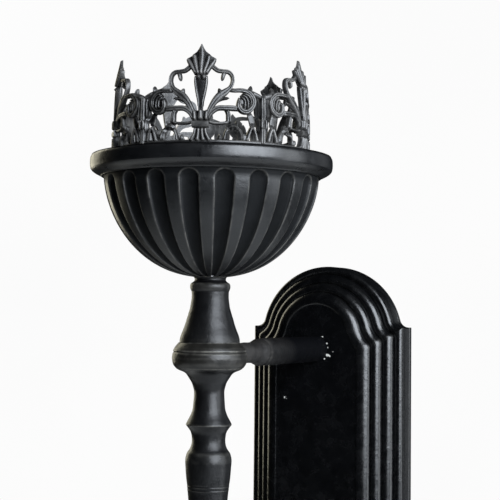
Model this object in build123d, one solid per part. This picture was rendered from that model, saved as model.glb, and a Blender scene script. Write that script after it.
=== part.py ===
from build123d import *
import math
import os

# Wall candle holder. Millimetres, +Z up, the wall is the plane y = 0 and the object stands out
# towards -Y. The origin is the centre of the back plate's wall face.

# Back plate: a hollow-backed casting of four stepped layers, arched at both ends
plate_width = 119.8
plate_height = 289.0
board_depth = 21.1
board_inset = 5.8
step_inset = 6.8
step_depth = 6.1
step_count = 3
arch_inset = 7.0
shoulder_rise = 8.1
cove_radius = 7.0
roll_radius = 4.8
board_edge_radius = 3.4
panel_roll_width = 8.4
casting_wall = 5.0
rib_thickness = 9.0

# Arm: a turned bar that stands square to the plate
arm_below_top = 60.9
arm_reach = 203.3
arm_diameter = 18.4
arm_neck_diameter = 13.4
arm_neck_start = 24.5
arm_flare_start = 50.0
arm_flare_end = 69.0
spigot_diameter = 10.0
spigot_overrun = 9.0
stud_diameter = 10.0
stud_hole_clearance = 0.3
stud_end_gap = 3.0
boss_diameter = 34.0
boss_back = 14.0
washer_thickness = 2.0
washer_diameter = 24.0
arm_nut_flats = 17.0
arm_nut_height = 8.0

# Keyhole hangers in the plate's hollow back
hanger_height = 112.0
hanger_length = 56.0
hanger_width = 19.0
hanger_thickness = 2.0
hanger_back = 3.5
hanger_screw_spacing = 42.0
hanger_screw_diameter = 4.0
hanger_head_radius = 3.6
hanger_head_height = 2.2
hanger_screw_length = 9.0
lug_diameter = 10.0
keyhole_entry_diameter = 9.0
keyhole_slot_width = 4.6
keyhole_travel = 8.0

# Hub: the bead on the stem that takes the arm's spigot
hub_radius = 23.2
hub_top_radius = 19.5
hub_bottom_radius = 20.8
hub_above = 7.5
hub_below = 8.0
hub_groove_depth = 0.8
hub_groove_height = 1.2

# Upper baluster, from hub to bowl
neck_length = 40.7
neck_foot_radius = 18.9
neck_swell_radius = 17.9
neck_swell_height = 4.5
neck_middle_radius = 14.5
neck_middle_height = 14.4
neck_waist_radius = 11.4
neck_waist_height = 28.0
neck_bead_radius = 12.3
neck_bead_width = 4.2
neck_throat_radius = 9.7
neck_throat_height = 39.2
neck_top_radius = 10.4

# Lower baluster, hanging under the hub; heights run downwards from the hub
waist_radius = 9.4
waist_drop = 15.8
ring_radius = 14.1
ring_drop = 34.4
ring_edge = 0.6
second_waist_radius = 10.35
second_waist_drop = 43.4
belly_radius = 14.3
belly_drop = 57.0
taper_radius = 12.5
taper_drop = 77.0
tail_radius = 8.0
tail_drop = 138.0
tail_collar_radius = 9.8
tail_collar_width = 4.0

# End cap under the lower baluster
finial_length = 31.0
finial_neck_radius = 6.4
finial_ball_radius = 9.4
finial_thread_depth = 14.0

# Tie rod and its washer and nut in the bowl
rod_diameter = 6.0
rod_clearance = 0.3
thread_clearance = 0.05
rod_above_floor = 9.5
rod_washer_diameter = 26.0
rod_washer_thickness = 2.0
rod_nut_flats = 10.0
rod_nut_height = 5.0

# Bowl with hollow flutes
bowl_radius = 66.7
bowl_height = 61.4
bowl_foot_radius = 10.6
bowl_floor_power = 1.7
bowl_side_power = 0.43
bowl_wall = 4.5
lip_width = 7.5
lip_depth = 6.0
lip_height = 3.4
flute_count = 20
flute_top_width = 10.4
flute_top_depth = 2.8
flute_end_width = 2.6
flute_end_depth = 0.9

# Rim ring on the bowl's lip
rim_radius = 75.0
rim_height = 9.5
rim_edge_radius = 0.8
rim_web = 6.0
rim_skirt_gap = 0.25
rim_skirt_width = 1.0
rim_skirt_length = 3.4
rim_cove_radius = 2.6
rim_screw_count = 5
rim_screw_diameter = 4.0
rim_screw_head_radius = 3.7
rim_screw_length = 14.0

# Crown of five identical pierced panels
crown_count = 5
crown_turn = 21.7
crown_radius = 61.0
crown_thickness = 3.0
crown_joint_gap = 0.3
crown_foot_thickness = 2.0
crown_foot_width = 4.6
crown_strip_height = 3.4
crown_post_height = 30.0
crown_post_width = 1.3
crown_tip_height = 59.4
crown_screw_diameter = 2.5
crown_screw_head_radius = 2.0
crown_screw_head_height = 1.6
crown_screw_length = 7.0
crown_screw_angle = 20.0

# Loose pan that the candle stands on
pan_foot_gap = 0.8
pan_floor = 2.0
pan_lip_height = 6.0
pan_lip_width = 1.6
pan_side_gap = 0.5
pan_seat_depth = 3.0
pan_seat_width = 7.1

# Places that follow from the sizes above
plate_depth = board_depth + step_count * step_depth
arch_radius = plate_width / 2 - arch_inset
arch_centre_z = plate_height / 2 - arch_radius
arm_z = plate_height / 2 - arm_below_top
crown_foot_inner_radius = crown_radius - crown_thickness - crown_foot_width
pan_radius = crown_foot_inner_radius - pan_foot_gap
rim_inner_radius = pan_radius + pan_side_gap - pan_seat_width
rod_hole_radius = rod_diameter / 2 + rod_clearance
neck_top_z = hub_above + neck_length
bowl_lip_z = neck_top_z + bowl_height + lip_height
rim_top_z = bowl_lip_z + rim_height
tail_end_z = -hub_below - tail_drop - tail_collar_width
lip_middle_radius = bowl_radius - lip_width / 2
stem_place = Pos(0, -arm_reach, arm_z)


def turned(edges):
    """One solid turned about Z from edges drawn with x as radius and y as height."""
    return revolve(Plane.XZ * make_face(edges), Axis.Z)


def rod(radius, low, high):
    """A plain cylinder about Z between two heights."""
    return Pos(0, 0, low) * Cylinder(radius, high - low, align=(Align.CENTER, Align.CENTER, Align.MIN))


def hexagon_nut(across_flats, height, bore_radius):
    """A hexagon nut standing on z = 0 with its corners eased by a cone."""
    prism = extrude(RegularPolygon(across_flats / math.sqrt(3), 6), height)
    corner = across_flats / math.sqrt(3)
    ease = corner - across_flats / 2
    rim = [Line((0, 0), (corner - ease / 2, 0))]
    rim.append(Line((corner - ease / 2, 0), (corner, ease / 2)))
    rim.append(Line((corner, ease / 2), (corner, height - ease / 2)))
    rim.append(Line((corner, height - ease / 2), (corner - ease / 2, height)))
    rim.append(Line((corner - ease / 2, height), (0, height)))
    rim.append(Line((0, height), (0, 0)))
    return (prism & turned(rim)) - rod(bore_radius, -1, height + 1)


def plate_outline(inset):
    """The plate's outline moved in by an inset, as a face in the XZ plane at y = 0."""
    half = plate_width / 2 - inset
    radius = arch_radius - inset
    cove = cove_radius + inset
    rise = shoulder_rise + cove_radius
    cove_x = math.sqrt((arch_radius + cove_radius) ** 2 - rise**2)
    cove_z = arch_centre_z + rise
    lean = math.atan2(rise, cove_x)
    join = (radius * math.cos(lean), arch_centre_z + radius * math.sin(lean))
    start_angle = 1.5 * math.pi - math.asin(max(cove_x - half, 0) / cove)
    start = (cove_x + cove * math.cos(start_angle), cove_z + cove * math.sin(start_angle))
    bend_angle = (start_angle + lean + math.pi) / 2
    bend = (cove_x + cove * math.cos(bend_angle), cove_z + cove * math.sin(bend_angle))
    arch_angle = (lean + math.pi / 2) / 2
    arch_bend = (radius * math.cos(arch_angle), arch_centre_z + radius * math.sin(arch_angle))
    top = (0, arch_centre_z + radius)
    edges = []
    for side in (1, -1):
        for end in (1, -1):
            signs = (side, end)
            edges.append(Line(signed((half, 0), signs), signed((half, start[1]), signs)))
            if half > start[0] + 0.01:
                edges.append(Line(signed((half, start[1]), signs), signed(start, signs)))
            edges.append(ThreePointArc(signed(start, signs), signed(bend, signs), signed(join, signs)))
            edges.append(ThreePointArc(signed(join, signs), signed(arch_bend, signs), signed(top, signs)))
    return Plane.XZ * make_face(edges)


def signed(point, signs):
    """A point of the first quarter carried to another quarter."""
    return point[0] * signs[0], point[1] * signs[1]


def plate_layer(inset, back, front, round_width, round_depth):
    """One layer of the plate whose front edge is a rounded roll."""
    steps = 4
    sections = [Pos(0, -back, 0) * plate_outline(inset)]
    for number in range(steps + 1):
        angle = number / steps * math.pi / 2
        sink = round_depth * (1 - math.sin(angle))
        draw_in = round_width * (1 - math.cos(angle))
        sections.append(Pos(0, -(front - sink), 0) * plate_outline(inset + draw_in))
    return loft(sections, ruled=True)


def layer_inset(number):
    """How far in from the plate's edge a layer starts; the board is layer 0."""
    if number == 0:
        return 0
    return board_inset + (number - 1) * step_inset


def make_back_plate():
    body = plate_layer(0, 0, board_depth, board_edge_radius, board_edge_radius)
    for number in range(1, step_count + 1):
        back = board_depth + (number - 1) * step_depth
        last = number == step_count
        width = panel_roll_width if last else roll_radius
        depth = step_depth - 0.3 if last else roll_radius
        body += plate_layer(layer_inset(number), back, back + step_depth, width, depth)
    for number in range(step_count + 1):
        pocket_depth = board_depth + number * step_depth - casting_wall
        pocket = extrude(plate_outline(casting_wall + layer_inset(number)), pocket_depth)
        body -= pocket
    inner_depth = plate_depth - casting_wall
    outer = plate_outline(casting_wall / 2)
    rib_box = Box(plate_width - casting_wall, inner_depth + casting_wall, rib_thickness)
    rib = Pos(0, -plate_depth / 2, 0) * rib_box
    rib &= extrude(outer, inner_depth)
    steps_of_rib = plate_steps_solid()
    body += rib & steps_of_rib
    boss_length = plate_depth - casting_wall / 2 - boss_back
    boss = Pos(0, -boss_back, arm_z) * Rot(90, 0, 0) * rod(boss_diameter / 2, 0, boss_length)
    body += boss
    for height in (hanger_height, -hanger_height):
        for side in (-1, 1):
            body += lug(side * hanger_screw_spacing / 2, height) & steps_of_rib
    hole_radius = stud_diameter / 2 + stud_hole_clearance
    body -= Pos(0, 0, arm_z) * Rot(90, 0, 0) * rod(hole_radius, 0, plate_depth + 1)
    for height in (hanger_height, -hanger_height):
        for side in (-1, 1):
            thread = rod(hanger_screw_diameter / 2 + thread_clearance, 0, hanger_screw_length + 1)
            depth = hanger_back + hanger_thickness
            body -= Pos(side * hanger_screw_spacing / 2, -depth, height) * Rot(90, 0, 0) * thread
    return body


def plate_steps_solid():
    """The plate's stepped space a little inside its front, to trim ribs and lugs to."""
    solid = extrude(plate_outline(casting_wall / 2), board_depth - casting_wall / 2)
    for number in range(1, step_count + 1):
        depth = board_depth + number * step_depth - casting_wall / 2
        solid += extrude(plate_outline(layer_inset(number) + casting_wall / 2), depth)
    return solid


def lug(x, z):
    """A round lug that a hanger is screwed to."""
    start = hanger_back + hanger_thickness
    return Pos(x, -start, z) * Rot(90, 0, 0) * rod(lug_diameter / 2, 0, plate_depth - start)


def make_arm():
    """The arm, turned about its axis with the stem's axis at zero and the wall at the far end."""
    bar = arm_diameter / 2
    neck = arm_neck_diameter / 2
    spigot = spigot_diameter / 2
    stud = stud_diameter / 2
    face = arm_reach - plate_depth
    end = arm_reach - stud_end_gap
    ease = 1.0
    edges = [Line((0, -spigot_overrun), (spigot - ease, -spigot_overrun))]
    edges.append(Line((spigot - ease, -spigot_overrun), (spigot, -spigot_overrun + ease)))
    edges.append(Line((spigot, -spigot_overrun + ease), (spigot, arm_neck_start)))
    edges.append(Line((spigot, arm_neck_start), (neck, arm_neck_start)))
    edges.append(Line((neck, arm_neck_start), (neck, arm_flare_start)))
    flare = Spline((neck, arm_flare_start), (bar, arm_flare_end), tangents=[(0, 1), (0.3, 1)])
    edges.append(flare)
    edges.append(Line((bar, arm_flare_end), (bar, face)))
    edges.append(Line((bar, face), (stud, face)))
    edges.append(Line((stud, face), (stud, end - ease)))
    edges.append(Line((stud, end - ease), (stud - ease, end)))
    edges.append(Line((stud - ease, end), (0, end)))
    edges.append(Line((0, end), (0, -spigot_overrun)))
    bar_solid = Rot(-90, 0, 0) * turned(edges)
    bar_solid -= rod(rod_hole_radius, -bar, bar)
    return stem_place * bar_solid


def make_arm_washer():
    hole = stud_diameter / 2 + stud_hole_clearance
    disc = rod(washer_diameter / 2, 0, washer_thickness) - rod(hole, -1, washer_thickness + 1)
    return Pos(0, -boss_back, arm_z) * Rot(-90, 0, 0) * disc


def make_arm_nut():
    nut = hexagon_nut(arm_nut_flats, arm_nut_height, stud_diameter / 2 + thread_clearance)
    return Pos(0, -boss_back + washer_thickness, arm_z) * Rot(-90, 0, 0) * nut


def make_hanger(height):
    """A pressed plate with a keyhole: the entry below, the slot above it."""
    blank = SlotOverall(hanger_length, hanger_width)
    for side in (-1, 1):
        blank -= Pos(side * hanger_screw_spacing / 2, 0) * Circle(hanger_screw_diameter / 2 + rod_clearance)
    entry_z = -keyhole_travel / 2
    blank -= Pos(0, entry_z) * Circle(keyhole_entry_diameter / 2)
    blank -= Pos(0, entry_z + keyhole_travel / 2) * Rectangle(keyhole_slot_width, keyhole_travel)
    blank -= Pos(0, entry_z + keyhole_travel) * Circle(keyhole_slot_width / 2)
    plate = extrude(Plane.XZ * blank, hanger_thickness)
    return Pos(0, -hanger_back, height) * plate


def make_hanger_screws():
    screws = []
    for height in (hanger_height, -hanger_height):
        for side in (-1, 1):
            shank = rod(hanger_screw_diameter / 2, -hanger_thickness - hanger_screw_length + 1, 0)
            head = rod(hanger_head_radius, 0, hanger_head_height)
            slot = Pos(0, 0, hanger_head_height) * Box(2 * hanger_head_radius, 0.9, 1.4)
            screw = Rot(-90, 0, 0) * (shank + head - slot)
            screws.append(Pos(side * hanger_screw_spacing / 2, -hanger_back, height) * screw)
    return screws


def make_hub():
    low = -hub_below
    high = hub_above
    groove = (hub_radius - hub_groove_depth, hub_groove_height)
    edges = [Line((0, low), (hub_bottom_radius, low))]
    lower_ridge = Spline((hub_bottom_radius, low), (hub_radius, -hub_groove_height), groove)
    edges.append(lower_ridge)
    upper_high = (hub_radius - 0.5 * hub_groove_depth, 2.4 * hub_groove_height)
    edges.append(Spline(groove, upper_high, (hub_top_radius, high)))
    edges.append(Line((hub_top_radius, high), (0, high)))
    edges.append(Line((0, high), (0, low)))
    hub = turned(edges)
    boss = Rot(-90, 0, 0) * rod(arm_neck_diameter / 2, 0, arm_neck_start)
    hub += boss
    hub -= rod(rod_hole_radius, low - 1, high + 1)
    socket_end = spigot_overrun + 1
    hub -= Rot(-90, 0, 0) * rod(spigot_diameter / 2 + thread_clearance, -socket_end, arm_neck_start + 1)
    return stem_place * hub


def make_stem_neck():
    bead_high = neck_throat_height - 1.6
    bead_low = bead_high - neck_bead_width
    crown = neck_bead_radius - neck_waist_radius
    edges = [Line((0, 0), (neck_foot_radius, 0))]
    edges.append(Spline((neck_foot_radius, 0), (neck_swell_radius, neck_swell_height),
                        (neck_middle_radius, neck_middle_height), (neck_waist_radius, neck_waist_height),
                        (neck_waist_radius + crown / 3, bead_low)))
    edges.append(Line((neck_waist_radius + crown / 3, bead_low), (neck_bead_radius, bead_low + crown)))
    edges.append(Line((neck_bead_radius, bead_low + crown), (neck_bead_radius, bead_high - crown)))
    edges.append(Line((neck_bead_radius, bead_high - crown), (neck_throat_radius, neck_throat_height)))
    edges.append(Line((neck_throat_radius, neck_throat_height), (neck_top_radius, neck_length)))
    edges.append(Line((neck_top_radius, neck_length), (0, neck_length)))
    edges.append(Line((0, neck_length), (0, 0)))
    neck = turned(edges) - rod(rod_hole_radius, -1, neck_length + 1)
    return stem_place * Pos(0, 0, hub_above) * neck


def make_stem_lower():
    """The lower baluster, drawn downwards from the hub's underside."""
    end = -tail_drop - tail_collar_width
    cove_radius_mid = (hub_bottom_radius + waist_radius) / 2 - 1.5
    edges = [Line((0, 0), (hub_bottom_radius, 0))]
    edges.append(Spline((hub_bottom_radius, 0), (cove_radius_mid, -waist_drop * 0.31),
                        (waist_radius, -waist_drop), (waist_radius + 0.7, -waist_drop - 9),
                        (ring_radius, -ring_drop), tangents=[(-1, -0.35), (0.5, -1)]))
    edges.append(Line((ring_radius, -ring_drop), (ring_radius, -ring_drop - ring_edge)))
    edges.append(Spline((ring_radius, -ring_drop - ring_edge), (second_waist_radius, -second_waist_drop),
                        (belly_radius, -belly_drop), tangents=[(-1, -0.9), (0, -1)]))
    edges.append(Spline((belly_radius, -belly_drop), (taper_radius, -taper_drop),
                        (tail_radius, -tail_drop), tangents=[(0, -1), (-0.07, -1)]))
    edges.append(Line((tail_radius, -tail_drop), (tail_collar_radius, -tail_drop - 1)))
    edges.append(Line((tail_collar_radius, -tail_drop - 1), (tail_collar_radius, end)))
    edges.append(Line((tail_collar_radius, end), (0, end)))
    edges.append(Line((0, end), (0, 0)))
    stem = turned(edges) - rod(rod_hole_radius, end - 1, 1)
    return stem_place * Pos(0, 0, -hub_below) * stem


def make_stem_finial():
    ball_z = -finial_length * 0.52
    edges = [Line((0, 0), (tail_collar_radius - 0.8, 0))]
    edges.append(Line((tail_collar_radius - 0.8, 0), (tail_collar_radius - 0.8, -1.2)))
    edges.append(Spline((tail_collar_radius - 0.8, -1.2), (finial_neck_radius, -4.2), (finial_ball_radius, ball_z),
                        (finial_neck_radius, ball_z - 9.5), (1.2, -finial_length)))
    edges.append(Line((1.2, -finial_length), (0, -finial_length)))
    edges.append(Line((0, -finial_length), (0, 0)))
    hole = rod(rod_diameter / 2 + thread_clearance, -finial_thread_depth, 1)
    return stem_place * Pos(0, 0, tail_end_z) * (turned(edges) - hole)


def make_tie_rod():
    low = tail_end_z - finial_thread_depth + 1
    high = neck_top_z + bowl_wall + rod_above_floor
    shaft = rod(rod_diameter / 2, low, high)
    return stem_place * chamfer(shaft.edges().filter_by(GeomType.CIRCLE), 0.5)


def make_rod_washer():
    floor_z = neck_top_z + bowl_wall
    disc = rod(rod_washer_diameter / 2, 0, rod_washer_thickness)
    disc -= rod(rod_hole_radius, -1, rod_washer_thickness + 1)
    return stem_place * Pos(0, 0, floor_z) * disc


def make_rod_nut():
    seat_z = neck_top_z + bowl_wall + rod_washer_thickness
    nut = hexagon_nut(rod_nut_flats, rod_nut_height, rod_diameter / 2 + thread_clearance)
    return stem_place * Pos(0, 0, seat_z) * nut


def bowl_point(share):
    """A point of the bowl's outer curve, from its foot at 0 to its lip at 1."""
    foot_cosine = (1 - (bowl_foot_radius / bowl_radius) ** (1 / bowl_side_power)) ** (1 / bowl_floor_power)
    foot_angle = math.acos(foot_cosine)
    cosine = math.cos(foot_angle + (math.pi / 2 - foot_angle) * share)
    radius = bowl_radius * (1 - max(cosine, 0) ** bowl_floor_power) ** bowl_side_power
    return radius, bowl_height * (1 - cosine / foot_cosine)


def bowl_normal(share):
    """The outward normal of the bowl's curve."""
    step = 0.002
    before = bowl_point(max(share - step, 0))
    after = bowl_point(min(share + step, 1))
    run = after[0] - before[0]
    rise = after[1] - before[1]
    size = math.hypot(run, rise)
    return rise / size, -run / size


def bowl_offset(share, distance):
    """A point at a distance outside the bowl's curve."""
    radius, height = bowl_point(share)
    normal = bowl_normal(share)
    return radius + distance * normal[0], height + distance * normal[1]


def flute_cutter():
    """A curved tapering tube with a round upper end that hollows one flute out."""
    stations = (0.10, 0.26, 0.42, 0.58, 0.74, 0.90)
    sections = []
    top = None
    for share in stations:
        blend_to_top = (share - stations[0]) / (stations[-1] - stations[0])
        width = flute_end_width + (flute_top_width - flute_end_width) * blend_to_top
        depth = flute_end_depth + (flute_top_depth - flute_end_depth) * blend_to_top
        radius = ((width / 2) ** 2 + depth**2) / (2 * depth)
        x, z = bowl_offset(share, radius - depth)
        run, rise = bowl_normal(share)
        along = (-rise, 0, run)
        sections.append(Plane(origin=(x, 0, z), z_dir=along, x_dir=(0, 1, 0)) * Circle(radius))
        top = Pos(x, 0, z) * Sphere(radius)
    return loft(sections) + top


def make_bowl():
    shares = (0, 0.15, 0.3, 0.45, 0.6, 0.75, 0.9, 1)
    outer = [bowl_point(share) for share in shares]
    inner = [bowl_offset(share, -bowl_wall) for share in shares[2:-1]]
    top = bowl_height + lip_height
    lip_inner = bowl_radius - lip_width
    lip_low = top - lip_depth
    inner_end = (bowl_radius - bowl_wall, lip_low - 3)
    inner = [point for point in inner if point[1] < lip_low - 6]
    floor_start = inner[0][0] * 0.72
    edges = [Line((0, 0), (bowl_foot_radius, 0))]
    edges.append(Spline(*outer))
    edges.append(Line(outer[-1], (bowl_radius, top)))
    edges.append(Line((bowl_radius, top), (lip_inner, top)))
    edges.append(Line((lip_inner, top), (lip_inner, lip_low)))
    edges.append(Line((lip_inner, lip_low), inner_end))
    edges.append(Spline(inner_end, *reversed(inner), (floor_start, bowl_wall), tangents=[(0, -1), (-1, 0)]))
    edges.append(Line((floor_start, bowl_wall), (0, bowl_wall)))
    edges.append(Line((0, bowl_wall), (0, 0)))
    bowl = turned(edges)
    cutter = Rot(0, 0, -90) * flute_cutter()
    bowl -= [Rot(0, 0, number * 360 / flute_count) * cutter for number in range(flute_count)]
    bowl -= rod(rod_hole_radius, -1, bowl_wall + 1)
    bowl -= rim_screw_holes(rim_screw_diameter / 2 + thread_clearance)
    return stem_place * Pos(0, 0, neck_top_z) * bowl


def rim_screw_angles():
    """The rim's screws lie between the crown's panels."""
    return [crown_turn + (number + 0.5) * 360 / rim_screw_count for number in range(rim_screw_count)]


def rim_screw_holes(radius):
    """Plain holes for the rim's screws, in heights above the bowl's foot."""
    low = rim_top_z - rim_screw_length - 1 - neck_top_z
    holes = []
    for angle in rim_screw_angles():
        hole = rod(radius, low, rim_top_z - neck_top_z + 1)
        holes.append(Rot(0, 0, angle) * Pos(0, -lip_middle_radius, 0) * hole)
    return holes


def make_rim_ring():
    """The ring's section: flat band outside, cove below, recess for the pan inside."""
    top = rim_height
    seat_radius = pan_radius + pan_side_gap
    seat = top - pan_seat_depth
    web_low = top - rim_web
    skirt_inner = bowl_radius + rim_skirt_gap
    skirt_outer = skirt_inner + rim_skirt_width
    lip_clear = bowl_radius - lip_width - 0.6
    ease = rim_edge_radius
    edges = [Line((seat_radius, top), (rim_radius - ease, top))]
    edges.append(Line((rim_radius - ease, top), (rim_radius, top - ease)))
    edges.append(Line((rim_radius, top - ease), (rim_radius, ease)))
    edges.append(Line((rim_radius, ease), (rim_radius - ease, 0)))
    cove_start = skirt_outer + rim_cove_radius
    edges.append(Line((rim_radius - ease, 0), (cove_start, -0.4)))
    cove_low = (skirt_outer, -0.4 - rim_cove_radius)
    cove_bend = rim_cove_radius * (1 - math.sqrt(0.5))
    edges.append(ThreePointArc((cove_start, -0.4), (skirt_outer + cove_bend, -0.4 - cove_bend), cove_low))
    edges.append(Line(cove_low, (skirt_outer, -rim_skirt_length)))
    edges.append(Line((skirt_outer, -rim_skirt_length), (skirt_inner, -rim_skirt_length)))
    edges.append(Line((skirt_inner, -rim_skirt_length), (skirt_inner, 0)))
    edges.append(Line((skirt_inner, 0), (lip_clear, 0)))
    edges.append(Line((lip_clear, 0), (lip_clear, web_low)))
    edges.append(Line((lip_clear, web_low), (rim_inner_radius, web_low)))
    edges.append(Line((rim_inner_radius, web_low), (rim_inner_radius, seat)))
    edges.append(Line((rim_inner_radius, seat), (seat_radius, seat)))
    edges.append(Line((seat_radius, seat), (seat_radius, top)))
    ring = turned(edges)
    for angle in rim_screw_angles():
        place = Rot(0, 0, angle) * Pos(0, -lip_middle_radius, 0)
        ring -= place * rod(rim_screw_diameter / 2 + rod_clearance, -rim_height, rim_height + 1)
        sink = rim_screw_head_radius - rim_screw_diameter / 2
        ring -= place * Pos(0, 0, top - sink / 2 + 0.01) * Cone(
            rim_screw_diameter / 2 + rod_clearance, rim_screw_head_radius + rod_clearance, sink + 0.02)
    for angle in crown_screw_angles():
        hole = rod(crown_screw_diameter / 2 + thread_clearance, top - crown_screw_length, top + 1)
        ring -= Rot(0, 0, angle) * Pos(0, -crown_screw_radius(), 0) * hole
    return stem_place * Pos(0, 0, bowl_lip_z) * ring


def make_rim_screws():
    screws = []
    sink = rim_screw_head_radius - rim_screw_diameter / 2
    for angle in rim_screw_angles():
        shank = rod(rim_screw_diameter / 2, -rim_screw_length, -sink)
        head = Pos(0, 0, -sink / 2) * Cone(rim_screw_diameter / 2, rim_screw_head_radius, sink)
        slot = Box(2 * rim_screw_head_radius, 0.9, 1.6)
        screw = shank + head - slot
        screws.append(stem_place * Rot(0, 0, angle) * Pos(0, -lip_middle_radius, rim_top_z) * screw)
    return screws


def crown_screw_radius():
    return (crown_foot_inner_radius + crown_radius - crown_thickness) / 2


def crown_screw_angles():
    """Two screws in the foot of each panel."""
    angles = []
    for number in range(crown_count):
        middle = crown_turn + number * 360 / crown_count
        angles.append(middle - crown_screw_angle)
        angles.append(middle + crown_screw_angle)
    return angles


def stroke(points):
    """A tapering stroke: each point is its place along the arc, its height and its half width."""
    flat = []
    for along, height, half in points:
        flat.append((crown_radius * math.sin(along / crown_radius), height, half))
    left = []
    right = []
    for number, (x, y, half) in enumerate(flat):
        before = flat[max(number - 1, 0)]
        after = flat[min(number + 1, len(flat) - 1)]
        run = after[0] - before[0]
        rise = after[1] - before[1]
        size = math.hypot(run, rise)
        left.append((x - rise / size * half, y + run / size * half))
        right.append((x + rise / size * half, y - run / size * half))
    edges = [Spline(*left), Spline(*right), Line(left[0], right[0]), Line(left[-1], right[-1])]
    return make_face(edges)


def crown_half_strokes():
    """The ornament of one half of a panel, to the right of its finial."""
    return [
        # main scroll, from the cup up and over to the palmette
        [(3.7, 16.3, 1.2), (5.4, 20.9, 1.3), (8.1, 25.5, 1.7), (11.3, 29.0, 2.1), (14.8, 31.5, 1.7),
         (17.7, 34.2, 1.0), (19.2, 38.0, 0.9), (18.6, 41.4, 0.9), (16.5, 43.2, 0.9), (13.4, 43.5, 0.9),
         (10.2, 43.9, 1.0), (7.5, 45.7, 1.1), (5.2, 47.9, 1.3)],
        [(14.7, 43.2, 0.9), (13.6, 41.5, 1.0), (13.1, 39.7, 0.9), (12.8, 38.0, 0.4)],
        [(12.4, 29.1, 2.0), (11.6, 31.4, 1.3), (10.7, 33.4, 0.3)],
        # upper leaf and the band under it
        [(6.0, 21.5, 0.9), (8.9, 25.3, 0.9), (11.9, 27.1, 0.9), (15.0, 27.7, 0.7), (17.2, 27.9, 0.3)],
        [(3.7, 15.1, 1.2), (6.3, 19.2, 1.3), (10.1, 21.7, 1.3), (14.9, 22.0, 1.3), (19.1, 22.0, 1.4),
         (22.8, 21.8, 1.2)],
        # volute with the fan leaf that fills it
        [(17.1, 32.7, 0.9), (20.2, 32.5, 0.9), (24.5, 32.8, 1.0), (28.3, 32.1, 1.1), (31.2, 29.8, 1.3),
         (32.4, 26.5, 1.3), (31.1, 22.7, 1.3), (27.8, 20.3, 1.3), (24.6, 20.8, 1.3), (22.9, 23.1, 1.2),
         (23.0, 25.8, 1.0), (23.9, 28.2, 0.8)],
        [(24.5, 30.2, 1.0), (26.4, 28.1, 2.9), (27.7, 25.3, 3.5), (27.7, 21.8, 2.0)],
        [(29.3, 31.7, 1.5), (30.7, 33.9, 1.0), (30.9, 35.9, 0.3)],
        # web between the volute and the edge post
        [(30.8, 31.8, 1.2), (34.2, 30.5, 1.3), (38.0, 29.3, 1.0)],
        [(34.2, 29.8, 1.5), (35.2, 25.2, 1.7), (34.9, 20.6, 1.8), (35.7, 16.9, 1.5)],
        # drop under the band, with the leaf clump at its foot
        [(14.9, 21.4, 0.9), (16.3, 18.9, 1.1), (16.7, 15.5, 1.3), (17.2, 12.3, 1.8)],
        [(16.2, 10.0, 1.4), (18.1, 11.2, 2.0), (20.4, 11.3, 1.7), (22.3, 9.4, 1.3)],
        [(21.1, 11.0, 1.0), (21.4, 12.8, 0.7), (21.5, 14.4, 0.3)],
        [(4.4, 13.9, 0.6), (7.9, 13.1, 0.6), (11.5, 13.0, 0.6), (15.0, 13.4, 0.6), (16.8, 14.3, 0.7)],
        [(21.7, 10.2, 1.3), (23.7, 7.7, 1.5), (24.9, 3.0, 2.1)],
        [(16.8, 10.3, 1.2), (15.5, 8.5, 0.8), (14.6, 6.5, 0.6), (13.9, 3.0, 0.9)],
        # leaves that rise from the strip
        [(11.3, 3.0, 2.0), (11.4, 5.0, 0.9), (11.2, 6.8, 0.3)],
        [(31.3, 11.9, 0.6), (29.5, 8.0, 0.9), (27.8, 3.0, 1.0)],
        [(31.2, 11.9, 0.6), (33.1, 8.3, 0.9), (34.7, 3.0, 1.0)],
        [(31.5, 8.8, 0.5), (31.9, 3.0, 1.2)],
        [(29.4, 19.6, 1.5), (30.7, 16.2, 1.8), (31.6, 12.2, 1.6)],
        [(26.7, 7.3, 0.9), (27.3, 3.0, 1.7)],
        # bud and leaf by the post
        [(37.4, 16.8, 0.7), (36.8, 13.3, 1.1), (37.4, 10.2, 0.6)],
        [(34.3, 17.6, 1.2), (35.5, 14.2, 1.0), (35.5, 10.8, 0.9), (36.5, 7.9, 0.7), (37.1, 3.0, 1.0)],
    ]


def crown_centre_outlines():
    """Half outlines of the finial's parts, from top to bottom: palmette, stem, cup, collar and foot."""
    return [
        [(0, crown_tip_height), (1.6, 56.8), (3.3, 54.3), (4.9, 53.4), (6.6, 52.0), (9.3, 50.7), (8.3, 49.2),
         (7.5, 47.6), (7.4, 46.0), (6.0, 44.2), (4.6, 42.0), (3.9, 41.0), (0, 41.0)],
        [(0, 41.6), (3.4, 41.6), (3.8, 39.6), (3.7, 36.8), (2.9, 32.0), (1.9, 27.0), (1.4, 23.4), (1.3, 19.8),
         (0, 19.8)],
        [(0, 20.6), (4.9, 20.6), (4.5, 18.4), (4.4, 14.4), (4.9, 14.2), (4.9, 10.4), (3.9, 10.2), (3.8, 8.6),
         (4.6, 6.0), (6.9, 3.4), (7.4, 2.0), (0, 2.0)],
    ]


def crown_panel_face():
    """The whole ornament of a panel, flat."""
    half_angle = math.pi / crown_count - crown_joint_gap / 2 / crown_radius
    half = crown_radius * math.sin(half_angle)
    face = Pos(0, crown_strip_height / 2) * Rectangle(2 * half, crown_strip_height)
    post_inner = crown_radius * math.sin(half_angle - crown_post_width / crown_radius)
    post_middle = (half + post_inner) / 2
    pieces = []
    for side in (-1, 1):
        post = Pos(side * post_middle, crown_post_height / 2) * Rectangle(half - post_inner, crown_post_height)
        pieces.append(post)
    for points in crown_half_strokes():
        pieces.append(stroke(points))
        pieces.append(stroke([(-along, height, width) for along, height, width in points]))
    for outline in crown_centre_outlines():
        other_side = [(-along, height) for along, height in reversed(outline) if along > 0]
        pieces.append(make_face(Polyline(*outline, *other_side, close=True)))
    for piece in pieces:
        face += piece
    return face


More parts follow.
